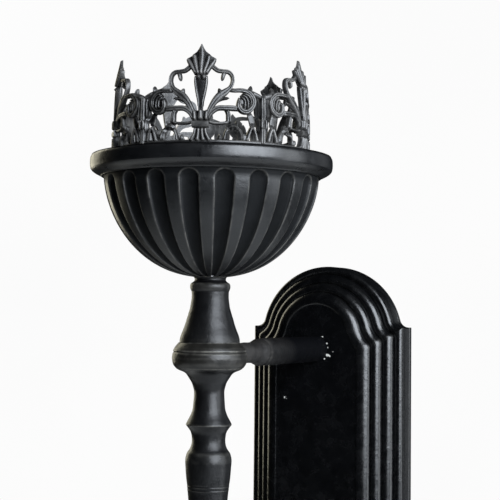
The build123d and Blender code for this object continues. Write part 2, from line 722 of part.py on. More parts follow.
def make_crown_panels():
    """One panel, curved by trimming it to the crown's wall, then turned to each place."""
    flat = crown_panel_face()
    inner = crown_radius - crown_thickness
    slab = Pos(0, -crown_radius - 2, 0) * (Plane.XZ * flat)
    slab = extrude(slab, -(crown_radius + 2 - inner * math.cos(math.pi / crown_count) + 2))
    sweep = 360 / crown_count - math.degrees(crown_joint_gap / crown_radius)
    start = Rot(0, 0, -90 - sweep / 2)
    band = Pos((crown_radius + inner) / 2, crown_tip_height / 2) * Rectangle(crown_thickness, crown_tip_height)
    panel = slab & (start * revolve(Plane.XZ * band, Axis.Z, sweep))
    foot_width = inner + 0.5 - crown_foot_inner_radius
    section = Pos(crown_foot_inner_radius + foot_width / 2, crown_foot_thickness / 2) * Rectangle(
        foot_width, crown_foot_thickness)
    panel += start * revolve(Plane.XZ * section, Axis.Z, sweep)
    for side in (-1, 1):
        hole = rod(crown_screw_diameter / 2 + rod_clearance, -1, crown_foot_thickness + 1)
        panel -= Rot(0, 0, side * crown_screw_angle) * Pos(0, -crown_screw_radius(), 0) * hole
    panels = []
    for number in range(crown_count):
        turn = crown_turn + number * 360 / crown_count
        panels.append(stem_place * Pos(0, 0, rim_top_z) * Rot(0, 0, turn) * panel)
    return panels


def make_crown_screws():
    screws = []
    for angle in crown_screw_angles():
        seat = crown_foot_thickness
        head_top = seat + crown_screw_head_height
        shank = rod(crown_screw_diameter / 2, seat - crown_screw_length, seat)
        head = rod(crown_screw_head_radius, seat, head_top)
        slot = Pos(0, 0, head_top) * Box(2 * crown_screw_head_radius, 0.7, 1.2)
        place = stem_place * Pos(0, 0, rim_top_z) * Rot(0, 0, angle) * Pos(0, -crown_screw_radius(), 0)
        screws.append(place * (shank + head - slot))
    return screws


def make_candle_pan():
    edges = [Line((0, 0), (pan_radius, 0))]
    edges.append(Line((pan_radius, 0), (pan_radius, pan_lip_height)))
    edges.append(Line((pan_radius, pan_lip_height), (pan_radius - pan_lip_width, pan_lip_height)))
    edges.append(Line((pan_radius - pan_lip_width, pan_lip_height), (pan_radius - pan_lip_width, pan_floor)))
    edges.append(Line((pan_radius - pan_lip_width, pan_floor), (0, pan_floor)))
    edges.append(Line((0, pan_floor), (0, 0)))
    return stem_place * Pos(0, 0, rim_top_z - pan_seat_depth) * turned(edges)


def save(name, shape):
    """Writes one node; a list of separate solids goes in as a group."""
    if isinstance(shape, list):
        shape = Compound(children=[item if isinstance(item, Solid) else item.solid() for item in shape])
    export_step(shape, os.path.join("parts", name + ".step"))


os.makedirs("parts", exist_ok=True)
save("back_plate", make_back_plate())
save("arm", make_arm())
save("arm_washer", make_arm_washer())
save("arm_nut", make_arm_nut())
save("hanger_top", make_hanger(hanger_height))
save("hanger_bottom", make_hanger(-hanger_height))
save("hanger_screws", make_hanger_screws())
save("hub_ring", make_hub())
save("stem_neck", make_stem_neck())
save("stem_lower", make_stem_lower())
save("stem_finial", make_stem_finial())
save("tie_rod", make_tie_rod())
save("rod_washer", make_rod_washer())
save("rod_nut", make_rod_nut())
save("bowl", make_bowl())
save("rim_ring", make_rim_ring())
save("rim_screws", make_rim_screws())
for panel_number, crown_panel in enumerate(make_crown_panels(), start=1):
    save(f"crown_panel_{panel_number}", crown_panel)
save("crown_screws", make_crown_screws())
save("candle_pan", make_candle_pan())
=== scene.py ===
from math import acos, asin, atan2, cos, dist, exp, hypot, pi, radians, sin, sqrt

import bmesh
import bpy
import numpy as np
from mathutils import Matrix, Vector, noise


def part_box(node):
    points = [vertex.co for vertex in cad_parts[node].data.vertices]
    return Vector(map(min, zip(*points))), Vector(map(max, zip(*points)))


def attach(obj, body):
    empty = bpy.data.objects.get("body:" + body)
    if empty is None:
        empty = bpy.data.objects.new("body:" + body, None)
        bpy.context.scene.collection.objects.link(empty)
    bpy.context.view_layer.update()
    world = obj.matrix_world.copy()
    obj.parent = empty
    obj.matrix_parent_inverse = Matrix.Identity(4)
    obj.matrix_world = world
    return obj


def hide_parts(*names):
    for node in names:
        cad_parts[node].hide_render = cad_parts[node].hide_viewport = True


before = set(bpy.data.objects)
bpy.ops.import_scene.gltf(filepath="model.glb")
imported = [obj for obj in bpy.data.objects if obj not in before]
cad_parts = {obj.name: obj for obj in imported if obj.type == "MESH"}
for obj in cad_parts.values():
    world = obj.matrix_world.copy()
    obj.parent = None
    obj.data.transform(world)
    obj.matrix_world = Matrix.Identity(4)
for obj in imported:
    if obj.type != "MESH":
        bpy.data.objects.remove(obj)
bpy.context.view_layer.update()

# Lengths are millimetres, as in the part. MM turns them into metres where a mesh is made.
MM = 0.001


def node_box(name):
    """A node's lowest and highest corner in millimetres."""
    low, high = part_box(name)
    return Vector(low) / MM, Vector(high) / MM


# Places read from the frame
bowl_low, bowl_high = node_box("bowl")
rim_low, rim_high = node_box("rim_ring")
hub_high = node_box("hub_ring")[1]
plate_high = node_box("back_plate")[1]
arm_low, arm_high = node_box("arm")
neck_low, neck_high = node_box("stem_neck")
lower_low, lower_high = node_box("stem_lower")
finial_low, finial_high = node_box("stem_finial")
pan_low, pan_high = node_box("candle_pan")
stem_y = (bowl_low.y + bowl_high.y) / 2
arm_z = (arm_low.z + arm_high.z) / 2
rim_top = rim_high.z

# Sizes shared with the part
plate_half_width = plate_high.x
plate_half_height = plate_high.z
arch_inset = 7.0
shoulder_rise = 8.1
cove_radius = 7.0
board_depth = 21.1
board_inset = 5.8
step_inset = 6.8
step_depth = 6.1
casting_wall = 5.0
boss_radius = 17.0
boss_back = 14.0
lug_radius = 5.0
lug_back = 5.5
rib_half_thickness = 4.5
rib_cover = 2.5
hanger_height = 112.0
hanger_screw_spacing = 42.0
arm_radius = 9.2
arm_neck_radius = 6.7
arm_spigot_radius = arm_neck_radius - 1.8
stud_radius = 5.0
stud_end_gap = 3.0
thread_pitch = 1.5
thread_step = 0.2
bowl_radius = 66.7
bowl_foot_radius = 10.6
bowl_floor_power = 1.7
bowl_side_power = 0.43
bowl_curve_height = 61.4
bowl_wall = 4.5
bowl_lip_width = 7.5
flute_count = 20
flute_share_of_pitch = 0.54
flute_first_rib = 7.8
flute_depth = 3.0
flute_arch_top = 60.3
flute_arch_height = 0.92
flute_depth_power = 0.9
# where the painted shade under the rim starts on the bowl, and how far up it grows
lip_shade_start = 55.0
lip_shade_height = 6.0
crown_radius = 61.0
crown_back_radius = 58.0
crown_count = 5
crown_turn = 21.7
crown_joint_gap = 0.3
crown_foot_inner = 53.4
crown_lean = 2.6
crown_lean_start = 18.0
crown_lean_height = 40.0

# The crown's strokes: spacing of points, extra half width, thinning and bending towards the tips
stroke_step = 0.45
stroke_spread = 0.28
stroke_layer = 0.011
tip_thin_start = 43.0
tip_thin_height = 15.0
tip_thin_share = 0.5
tip_bend_start = 41.0
tip_bend_height = 18.4
tip_bends = (0.5, -2.2, -0.6, -1.4, -1.2)

# Curvature at which an edge starts to show wear, and how much more wears it fully, in 1/mm
wear_start = 0.05
wear_range = 0.6

# Studio, in millimetres for meshes and metres for lights
floor_place = (0, -140.0, -420.0)
floor_radius = 900.0
backdrop_radius = 6000
light_target = (0, -0.12, 0.1)
camera_place = (377.87, -907.0, 111.73)
camera_lens = 92.708


# Mesh helpers

def share_of(value, start, length):
    """How far a value is along a stretch, from 0 to 1."""
    return min(1.0, max(0.0, (value - start) / length))


def bend_point(start, corner, end, t):
    """A point of the smooth bend from start to end that a corner pulls outward."""
    return tuple((1 - t) ** 2 * a + 2 * t * (1 - t) * b + t**2 * c for a, b, c in zip(start, corner, end))


def edge_wear(mesh):
    """Stores how strongly each vertex stands out as a float attribute, for worn paint on edges."""
    count = len(mesh.vertices)
    points = np.empty(count * 3)
    normals = np.empty(count * 3)
    mesh.vertices.foreach_get("co", points)
    mesh.vertices.foreach_get("normal", normals)
    ends = np.empty(len(mesh.edges) * 2, dtype=np.int64)
    mesh.edges.foreach_get("vertices", ends)
    points = points.reshape(-1, 3) / MM
    normals = normals.reshape(-1, 3)
    ends = ends.reshape(-1, 2)
    total = np.zeros(count)
    weight = np.zeros(count)
    for here, there in ((0, 1), (1, 0)):
        step = points[ends[:, here]] - points[ends[:, there]]
        length = np.linalg.norm(step, axis=1) + 1e-6
        bend = 2 * np.einsum("ij,ij->i", normals[ends[:, here]], step) / length
        np.add.at(total, ends[:, here], bend)
        np.add.at(weight, ends[:, here], length)
    curvature = total / np.maximum(weight, 1e-6)
    for _ in range(2):
        mean = np.zeros(count)
        links = np.zeros(count)
        for here, there in ((0, 1), (1, 0)):
            np.add.at(mean, ends[:, here], curvature[ends[:, there]])
            np.add.at(links, ends[:, here], 1)
        curvature = 0.5 * curvature + 0.5 * mean / np.maximum(links, 1)
    for name, sign in (("wear", 1.0), ("hollow", -1.0)):
        value = np.clip((sign * curvature - wear_start) / wear_range, 0, 1)
        layer = mesh.attributes.new(name, "FLOAT", "POINT")
        layer.data.foreach_set("value", value.astype(np.float32))


def new_object(name, mesh):
    made = bpy.data.objects.new(name, mesh)
    bpy.context.scene.collection.objects.link(made)
    return made


def add_object(name, shape, body="holder", sharp=38.0, slot="black_paint", painted_shade=None):
    """One finished piece: merged, with its normals outward, smooth but for its sharp edges."""
    mesh = shape.mesh(name)
    # the attribute for painted shade: how much rougher, less shiny paint each vertex gets, none unless
    # given
    layer = mesh.attributes.new("painted_shade", "FLOAT", "POINT")
    layer.data.foreach_set("value", np.array(painted_shade or [0.0] * len(shape.verts), dtype=np.float32))
    merged = bmesh.new()
    merged.from_mesh(mesh)
    bmesh.ops.remove_doubles(merged, verts=merged.verts, dist=2e-6)
    bmesh.ops.recalc_face_normals(merged, faces=merged.faces)
    merged.to_mesh(mesh)
    merged.free()
    mesh.shade_smooth()
    mesh.set_sharp_from_angle(angle=radians(sharp))
    edge_wear(mesh)
    piece = new_object(name, mesh)
    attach(piece, body)
    return piece


class Shape:
    """Collects the vertices and faces of several closed or open surfaces into one piece."""

    def __init__(self):
        self.verts = []
        self.faces = []

    def mesh(self, name):
        mesh = bpy.data.meshes.new(name)
        mesh.from_pydata([Vector(v) * MM for v in self.verts], [], self.faces)
        return mesh

    def grid(self, rows, close_rows=False, close_columns=True, cap_start=False, cap_end=False):
        """Faces between rows of points that all have the same count."""
        start = len(self.verts)
        count = len(rows[0])
        for row in rows:
            self.verts.extend(row)
        row_pairs = len(rows) if close_rows else len(rows) - 1
        columns = count if close_columns else count - 1
        for number in range(row_pairs):
            a = start + number * count
            b = start + (number + 1) % len(rows) * count
            for column in range(columns):
                after = (column + 1) % count
                self.faces.append((a + column, a + after, b + after, b + column))
        if cap_start:
            self.faces.append(tuple(range(start, start + count)))
        if cap_end:
            last = start + (len(rows) - 1) * count
            self.faces.append(tuple(range(last, last + count)))

    def turned(self, profile, centre, axis="z", segments=128, change=None):
        """A surface turned about an axis from (radius, height) points."""
        rows = []
        for radius, height in profile:
            row = []
            for number in range(segments):
                angle = 2 * pi * number / segments
                r = radius if change is None else change(radius, height, angle)
                across = r * cos(angle)
                along = r * sin(angle)
                y, z = (along, height) if axis == "z" else (height, along)
                row.append((centre[0] + across, centre[1] + y, centre[2] + z))
            rows.append(row)
        self.grid(rows)


def smooth_run(points, step):
    """Points along a curve through the given ones, about a step apart."""
    if len(points) == 2:
        ends = [points[0], points[1]]
        pieces = max(1, int(dist(ends[0], ends[1]) / step))
        return [tuple(a + (b - a) * k / pieces for a, b in zip(*ends)) for k in range(pieces + 1)]
    first = tuple(2 * a - b for a, b in zip(points[0], points[1]))
    last = tuple(2 * a - b for a, b in zip(points[-1], points[-2]))
    padded = [first, *points, last]
    run = []
    for number in range(len(points) - 1):
        p0, p1, p2, p3 = padded[number:number + 4]
        pieces = max(2, int(dist(p1[:2], p2[:2]) / step))
        for k in range(pieces):
            t = k / pieces
            run.append(tuple(
                0.5 * (2 * b + (c - a) * t + (2 * a - 5 * b + 4 * c - d) * t**2
                       + (3 * b - a - 3 * c + d) * t**3)
                for a, b, c, d in zip(p0, p1, p2, p3)))
    run.append(tuple(points[-1]))
    return run


def profile(*runs, step=0.8, ease=0.35):
    """Joins smooth runs at corners, and eases each corner by a small round."""
    parts = [smooth_run(run, step) for run in runs]
    joined = list(parts[0])
    for part in parts[1:]:
        corner = joined[-1]
        before = pull_back(joined, ease)
        after = pull_back(part[::-1], ease)[::-1]
        bend = [bend_point(before[-1], corner, after[0], k / 4) for k in range(1, 4)]
        joined = before + bend + after
    return joined


def corners(*points):
    """Straight runs from point to point, for a profile that eases each corner."""
    return [[a, b] for a, b in zip(points, points[1:])]


def pull_back(run, distance):
    """The run cut short at its end by a distance."""
    run = list(run)
    left = distance
    while len(run) > 2 and dist(run[-1], run[-2]) <= left:
        left -= dist(run[-1], run[-2])
        run.pop()
    length = dist(run[-1], run[-2])
    share = min(left / length, 0.45) if length else 0
    run[-1] = tuple(a + (b - a) * share for a, b in zip(run[-1], run[-2]))
    return run


def cast_wobble(size, scale, seed):
    """A change of radius that makes a turned surface slightly uneven, as a casting is."""
    def change(radius, height, angle):
        place = Vector((radius * cos(angle), radius * sin(angle), height + seed)) * scale
        return radius + size * noise.noise(place)
    return change


# Back plate

def outline(inset, ease):
    """The plate's outline moved in by an inset: the same number of points for any inset."""
    half = plate_half_width - inset
    arch = plate_half_width - arch_inset
    radius = arch - inset
    centre_z = plate_half_height - arch
    cove = cove_radius + inset
    rise = shoulder_rise + cove_radius
    cove_x = sqrt((arch + cove_radius) ** 2 - rise**2)
    cove_z = centre_z + rise
    lean = atan2(rise, cove_x)
    start_angle = 1.5 * pi - asin(max(cove_x - half, 0) / cove)
    corner_z = cove_z + cove * sin(start_angle)
    end_angle = lean + pi
    curve = [(half, corner_z)]
    for k in range(25):
        angle = start_angle + (end_angle - start_angle) * k / 24
        curve.append((cove_x + cove * cos(angle), cove_z + cove * sin(angle)))
    corner = curve[0]
    shoulder = along_line(curve, ease, 12)
    quarter = [(half, (corner_z - ease) * k / 16) for k in range(16)]
    start = (half, corner_z - ease)
    quarter.extend(bend_point(start, corner, shoulder[0], k / 7) for k in range(7))
    quarter.extend(shoulder)
    for k in range(1, 33):
        angle = lean + (pi / 2 - lean) * k / 32
        quarter.append((radius * cos(angle), centre_z + radius * sin(angle)))
    loop = list(quarter)
    loop.extend((-x, z) for x, z in reversed(quarter[1:-1]))
    loop.extend((-x, -z) for x, z in quarter)
    loop.extend((x, -z) for x, z in reversed(quarter[1:-1]))
    return loop


def along_line(points, start, count):
    """Evenly spaced points on a line of points, from a start distance to its end."""
    lengths = [0.0]
    for a, b in zip(points, points[1:]):
        lengths.append(lengths[-1] + dist(a, b))
    picked = []
    for k in range(count + 1):
        want = start + (lengths[-1] - start) * k / count
        number = max(i for i, length in enumerate(lengths) if length <= want + 1e-9)
        number = min(number, len(points) - 2)
        span = lengths[number + 1] - lengths[number]
        share = (want - lengths[number]) / span if span else 0
        a, b = points[number], points[number + 1]
        picked.append((a[0] + (b[0] - a[0]) * share, a[1] + (b[1] - a[1]) * share))
    return picked


def layer_inset(number):
    """How far in from the plate's edge a layer starts; the board is layer 0."""
    return 0.0 if number == 0 else board_inset + (number - 1) * step_inset


def roll(inset, depth, width, height, steps=9):
    """A quarter-round from a wall up to a front face, as (inset, depth) points."""
    points = []
    for k in range(steps + 1):
        angle = pi / 2 * k / steps
        points.append((inset + width * (1 - cos(angle)), depth - height * (1 - sin(angle))))
    return points


def plate_front():
    """The moulded front, from the wall edge in to the panel, as (inset, depth) points."""
    board = board_depth
    # the side wall, with a shallow groove along it
    steps = [(0, 0), (0, 0.3), (0, 1.6), (0, 3.2), (0.1, 3.5), (0.45, 3.9), (0.5, 4.4)]
    steps += [(0.5, 9), (0.5, 13.2), (0.45, 13.9), (0.1, 14.3), (0, 14.7), (0, 16.4), (0, 17.4)]
    steps += roll(0, board, 3.3, 3.4, 10)
    steps += [(3.6, board), (3.8, board - 0.1), (5, board - 0.2), (5.4, board - 0.4), (5.65, board - 0.9)]
    for number in range(1, 4):
        inset = layer_inset(number)
        foot = board + (number - 1) * step_depth
        front = foot + step_depth
        last = number == 3
        width = 8.2 if last else 5.2
        steps += [(inset, foot - 0.9), (inset, foot + 0.3)]
        steps += roll(inset, front, width, step_depth - 0.6, 14 if last else 12)
        if not last:
            edge = inset + step_inset
            steps += [(edge - 1.2, front - 0.02), (edge - 0.8, front - 0.12), (edge - 0.5, front - 0.4)]
            steps += [(edge - 0.2, front - 0.9)]
    panel = layer_inset(3) + 8.2
    front = board + 3 * step_depth
    steps += [(panel + 0.25, front - 0.02), (panel + 0.45, front - 0.22), (panel + 0.8, front - 0.3)]
    steps += [(panel + 2.5, front - 0.3), (panel + 5, front - 0.3)]
    return steps


def plate_back():
    """The hollow back, from the wall edge in to the floor of the deepest pocket."""
    steps = [(0.0, 0.0), (0.25, 0.0), (casting_wall - 0.4, 0.0), (casting_wall, 0.4)]
    for number in range(4):
        inset = casting_wall + layer_inset(number)
        floor = board_depth + number * step_depth - casting_wall
        steps += [(inset, floor - 1.0), (inset + 0.4, floor - 0.3), (inset + 1.1, floor)]
        if number < 3:
            edge = casting_wall + layer_inset(number + 1)
            steps += [(edge - 0.6, floor), (edge - 0.1, floor + 0.2), (edge, floor + 0.8)]
    deepest = casting_wall + layer_inset(3)
    steps += [(deepest + 3, board_depth + 3 * step_depth - casting_wall)]
    return steps


def plate_ease(inset):
    """How much the outline's shoulder corner is rounded: sharp on the board, soft further in."""
    return 0.5 if inset < 3 else 2.6


def make_plate():
    """The casting as a moulded front and a hollow back, with its rib, arm boss and screw lugs."""
    shape = Shape()
    for points in (plate_front(), plate_back()):
        rows = [[(x, -depth, z) for x, z in outline(inset, plate_ease(inset))] for inset, depth in points]
        shape.grid(rows, cap_end=True)
    # cross rib behind, stepped to lie inside the front
    half_rib = rib_half_thickness
    reach = plate_half_width - rib_cover
    rib = [(reach, 0.0), (reach, board_depth - rib_cover)]
    for number in range(1, 4):
        edge = plate_half_width - layer_inset(number) - rib_cover
        rib.append((edge, board_depth + (number - 1) * step_depth - rib_cover))
        rib.append((edge, board_depth + number * step_depth - rib_cover))
    rib += [(-x, depth) for x, depth in reversed(rib)]
    rows = []
    for z, pull in ((-half_rib, 0.4), (-half_rib + 0.4, 0.0), (half_rib - 0.4, 0.0), (half_rib, 0.4)):
        rows.append([(x, -max(depth, pull), z) for x, depth in rib])
    shape.grid(rows, cap_start=True, cap_end=True)
    inner = board_depth + 3 * step_depth - casting_wall
    boss = profile(*corners((stud_radius + 0.3, -boss_back), (boss_radius, -boss_back),
                            (boss_radius + 0.3, -inner + 2), (boss_radius + 2.4, -inner - 0.6)), ease=0.7)
    shape.turned(boss, (0, 0, arm_z), axis="y", segments=72)
    lug = profile(*corners((2.05, -lug_back), (lug_radius, -lug_back), (lug_radius + 0.2, -inner)),
                  ease=0.5)
    for height in (hanger_height, -hanger_height):
        for side in (-1, 1):
            shape.turned(lug, (side * hanger_screw_spacing / 2, 0, height), axis="y", segments=40)
    plate = add_object("plate_casting", shape, sharp=50)
    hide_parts("back_plate")
    return plate


# Arm

def make_arm():
    """The bar, with its turned neck at the hub and its thread behind the plate."""
    wall = -stem_y
    face = wall - (board_depth + 3 * step_depth)
    start = hub_high.y - stem_y
    bar = profile(
        *corners((0, start - 6), (arm_spigot_radius, start - 6), (arm_spigot_radius, start),
                 (arm_neck_radius, start + 0.05)),
        [(arm_neck_radius, start + 0.05), (arm_neck_radius, 44), (6.75, 54), (6.85, 59), (7.15, 62),
         (7.8, 64.5), (8.6, 67), (9.05, 70), (arm_radius, 73), (arm_radius, 110), (arm_radius, face - 3),
         (arm_radius, face + 0.5)],
        step=1.2, ease=0.3)
    shape = Shape()
    shape.turned(bar, (0, stem_y, arm_z), axis="y", segments=96, change=cast_wobble(0.22, 0.16, 5.0))
    thread = []
    end = wall - stud_end_gap
    rows = int((end - face - 1) / thread_step)
    for k in range(rows + 1):
        thread.append((stud_radius, face + 1 + k * thread_step))

    def ridge(radius, height, angle):
        turn = (height / thread_pitch + angle / (2 * pi)) % 1
        taper = min(1.0, max(0.0, (end - height) / 1.5))
        return radius - 0.15 - (1 - taper) * 0.8 + 0.35 * (abs(2 * turn - 1) - 0.5)

    shape.turned(thread, (0, stem_y, arm_z), axis="y", segments=48, change=ridge)
    tip = profile([(stud_radius - 1.0, end - 0.1), (0.0, end)], ease=0.2)
    shape.turned(tip, (0, stem_y, arm_z), axis="y", segments=48)
    arm = add_object("arm_bar", shape, sharp=40, slot="arm_paint")
    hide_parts("arm")
    return arm


# Stem

def turned_piece(name, section, z, segments, change=None, **how):
    """A piece turned about the stem's axis, with its section's heights counted from z."""
    shape = Shape()
    shape.turned(section, (0, stem_y, z), segments=segments, change=change)
    return add_object(name, shape, **how)


def make_hub():
    """The bead with two ridges and the short collar that the arm enters."""
    ring = profile(
        [(5, 7.5), (19.3, 7.5)],
        [(19.3, 7.5), (20.5, 6), (21.6, 4.6), (22.3, 3.3), (22.6, 2.5), (22.2, 1.75)],
        [(22.2, 1.75), (22.9, 0.9), (23.2, -0.8), (23.3, -2), (23.1, -3.4), (22.9, -4.6), (22.5, -5.8),
         (21.8, -6.9), (20.9, -8)],
        [(20.9, -8), (5, -8)],
        step=0.45, ease=0.25)
    shape = Shape()
    shape.turned(ring, (0, stem_y, arm_z), segments=128, change=cast_wobble(0.1, 0.12, 2.0))
    reach = hub_high.y - stem_y
    collar = profile([(10.5, 18.0), (8.6, 20.2), (7.3, 21.8), (6.85, 23.4), (6.75, reach - 0.15)],
                     [(6.75, reach - 0.15), (5.2, reach)], step=0.6, ease=0.2)
    shape.turned(collar, (0, stem_y, arm_z), axis="y", segments=80)
    hub = add_object("hub_bead", shape)
    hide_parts("hub_ring")
    return hub


def make_neck():
    """The upper baluster, with the small bead under the bowl."""
    foot = neck_low.z - arm_z
    body = profile(
        [(4, foot), (18.7, foot)],
        [(18.7, foot), (18.55, 9.5), (17.9, 12), (16.95, 14.4), (16, 16.9), (15.2, 19.4), (14.5, 21.9),
         (13.7, 24.4), (13, 26.8), (12.3, 29.3), (11.95, 31.8), (11.6, 34.3), (11.5, 36.8), (11.55, 38),
         (11.6, 39.2)],
        [(11.6, 39.2), (12.1, 40.2), (12.5, 41.6), (12.5, 42.9), (12.1, 44), (11.4, 44.6)],
        [(11.4, 44.6), (10.4, 45.2), (9.75, 46.2), (9.85, 47.4), (10.5, neck_high.z - arm_z)],
        [(10.5, neck_high.z - arm_z), (4, neck_high.z - arm_z)],
        step=0.6, ease=0.25)
    neck = turned_piece("neck_baluster", body, arm_z, 112, cast_wobble(0.14, 0.1, 9.0))
    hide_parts("stem_neck")
    return neck


def make_lower():
    """The lower baluster: cove, sharp ring, second waist, belly and long taper to a collar."""
    foot = lower_high.z - arm_z
    end = lower_low.z - arm_z
    body = profile(
        [(4, foot), (20.7, foot)],
        [(20.7, foot), (20.2, -8.6), (18.7, -9.4), (15.8, -10.6), (14.1, -11.9), (12.5, -14.3),
         (10.95, -16.8), (10.1, -19.3), (9.5, -21.7), (9.4, -24), (9.6, -28), (10, -32.7), (10.6, -35.2),
         (11.6, -37.7), (12.95, -40.2), (14, -42.2)],
        [(14, -42.2), (14.2, -42.9)],
        [(14.2, -42.9), (12.4, -45.2), (11, -47.6), (10.35, -51.4), (10.5, -54.6), (11.5, -57.6),
         (13.2, -60.1), (14, -62.5), (14.3, -65), (14.1, -68), (13.6, -75), (13.1, -79)],
        [(13.1, -79), (12.95, -79.8), (13, -80.5)],
        [(13, -80.5), (12.75, -81.9), (12.8, -82.6)],
        [(12.8, -82.6), (12.5, -84.4), (11.6, -94), (10.3, -110), (9.1, -128), (8.2, -140), (8, end + 4)],
        [(8, end + 4), (9.2, end + 3.4), (9.8, end + 2.2), (9.6, end + 0.6), (9.1, end)],
        [(9.1, end), (4, end)],
        step=0.7, ease=0.3)
    lower = turned_piece("lower_baluster", body, arm_z, 112, cast_wobble(0.14, 0.1, 21.0))
    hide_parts("stem_lower")
    return lower


def make_finial():
    """The end cap: a small button that tapers to a point."""
    length = finial_high.z - finial_low.z
    body = profile(
        [(3.5, 0), (9, 0)],
        [(9, 0), (9, -1.2)],
        [(9, -1.2), (7.4, -2.2), (6.3, -4.2), (7.2, -7.6), (9, -12.2), (9.4, -16.2), (8.6, -20.4),
         (6.6, -24.6), (4, -28.4), (1.8, -length + 0.5), (0, -length)],
        step=0.6, ease=0.3)
    finial = turned_piece("finial_cap", body, finial_high.z, 96, cast_wobble(0.08, 0.12, 33.0))
    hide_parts("stem_finial")
    return finial


# Bowl

def bowl_point(share):
    """A point of the bowl's outer curve, from its foot at 0 to its lip at 1."""
    foot_cosine = (1 - (bowl_foot_radius / bowl_radius) ** (1 / bowl_side_power)) ** (1 / bowl_floor_power)
    foot_angle = acos(foot_cosine)
    cosine = cos(foot_angle + (pi / 2 - foot_angle) * share)
    radius = bowl_radius * (1 - max(cosine, 0) ** bowl_floor_power) ** bowl_side_power
    return radius, bowl_curve_height * (1 - cosine / foot_cosine)


def make_bowl():
    """The fluted outside as one fine grid, and a plain turned inside."""
    rows_count = 220
    across_flute = flute_columns()
    per_flute = len(across_flute)
    columns = flute_count * per_flute
    shares = [k / rows_count for k in range(rows_count + 1)]
    curve = [bowl_point(share) for share in shares]
    half_at_top = pi / flute_count * flute_share_of_pitch * bowl_radius
    arch_centre = flute_arch_top - half_at_top * flute_arch_height
    rows = []
    painted_shade = []
    for number, (radius, height) in enumerate(curve):
        # how far up into the band under the rim's overhang, which gets painted shade
        lip_shade = share_of(height, lip_shade_start, lip_shade_height)
        before = curve[max(number - 1, 0)]
        after = curve[min(number + 1, rows_count)]
        run, rise = after[0] - before[0], after[1] - before[1]
        size = hypot(run, rise)
        out_r, out_z = rise / size, -run / size
        half = pi / flute_count * flute_share_of_pitch * radius
        depth = flute_depth * (radius / bowl_radius) ** flute_depth_power
        row = []
        for column in range(columns):
            within = across_flute[column % per_flute]
            angle = 2 * pi * (column // per_flute + 0.5 + within) / flute_count
            across = abs(within) * 2 * pi / flute_count * radius
            if height > arch_centre:
                place = hypot(across, (height - arch_centre) / flute_arch_height) / half
            else:
                place = across / half
            hollow = soft_hollow(place)
            # painted shade: the flute's hollow and the band under the rim are marked for duller, less
            # shiny paint, in place of the shade that falls there
            painted_shade.append(max(hollow, lip_shade))
            sink = depth * hollow
            r = radius - sink * out_r
            z = height - sink * out_z
            az = angle + radians(flute_first_rib)
            row.append((r * sin(az), stem_y - r * cos(az), bowl_low.z + z))
        rows.append(row)
    shape = Shape()
    shape.grid(rows)
    lip = bowl_high.z - bowl_low.z
    lip_inner = bowl_radius - bowl_lip_width
    inside = profile(
        *corners((bowl_radius - 0.02, bowl_curve_height - 0.3), (bowl_radius, lip), (lip_inner, lip),
                 (lip_inner, lip - 6), (bowl_radius - 4.7, lip - 9)),
        [(bowl_radius - 4.7, lip - 9), (58.9, 46), (54.6, 35), (48, 25), (38.5, 16), (27, 9.2), (17, 5.6),
         (10, bowl_wall)],
        [(10, bowl_wall), (3.3, bowl_wall)],
        step=1.4, ease=0.6)
    shape.turned(inside, (0, stem_y, bowl_low.z), segments=144)
    underside = [(bowl_foot_radius, 0.0), (3.3, 0.0)]
    shape.turned(underside, (0, stem_y, bowl_low.z), segments=144)
    painted_shade += [0.0] * (len(shape.verts) - len(painted_shade))
    bowl = add_object("fluted_bowl", shape, sharp=60, painted_shade=painted_shade)
    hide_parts("bowl")
    return bowl


def flute_columns():
    """Places across one flute and its rib, from -0.5 to 0.5, close together at the flute's edges."""
    edge = flute_share_of_pitch / 2
    inside = [edge * sin(pi / 2 * k / 12) for k in range(13)]
    outside = [edge + (0.5 - edge) * (k / 9) ** 1.7 for k in range(1, 9)]
    half = inside + outside
    return [-0.5] + [-x for x in reversed(half[1:])] + half


def soft_hollow(place):
    """The flute's section: 1 in its middle, steep at the sides, with a short ease onto the rib."""
    ease = 0.16
    lap = 0.12
    if place >= 1 + ease:
        return 0.0
    if place >= 1:
        return lap * (1 - (place - 1) / ease) ** 2
    return lap + (1 - lap) * (1 - place**2) ** 0.62


# Rim

def make_rim():
    """The plain banded ring: rounded top edge, slightly crowned band and a rounded underside."""
    low = rim_low.z - rim_top
    band = -9.5  # where the ring rests on the bowl's lip
    section = profile(
        [(53.1, 0), (72.6, 0), (73.6, -0.15), (74.4, -0.6), (74.9, -1.3), (75.15, -2.2), (75.25, -3.4),
         (75.3, -4.8), (75.25, -6.2), (75.1, -7.4), (74.8, -8.5)],
        [(74.8, -8.5), (74, -9.5), (72.8, -10.4), (71.3, -11.2), (69.8, -11.9), (68.6, -12.5),
         (68.3, low)],
        *corners((68.3, low), (67, low), (67, band), (58.6, band), (58.6, -6), (46, -6), (46, -3),
                 (53.1, -3), (53.1, 0)),
        step=0.9, ease=0.2)
    rim = turned_piece("rim_band", section, rim_top, 220, sharp=45)
    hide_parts("rim_ring")
    return rim


# Crown

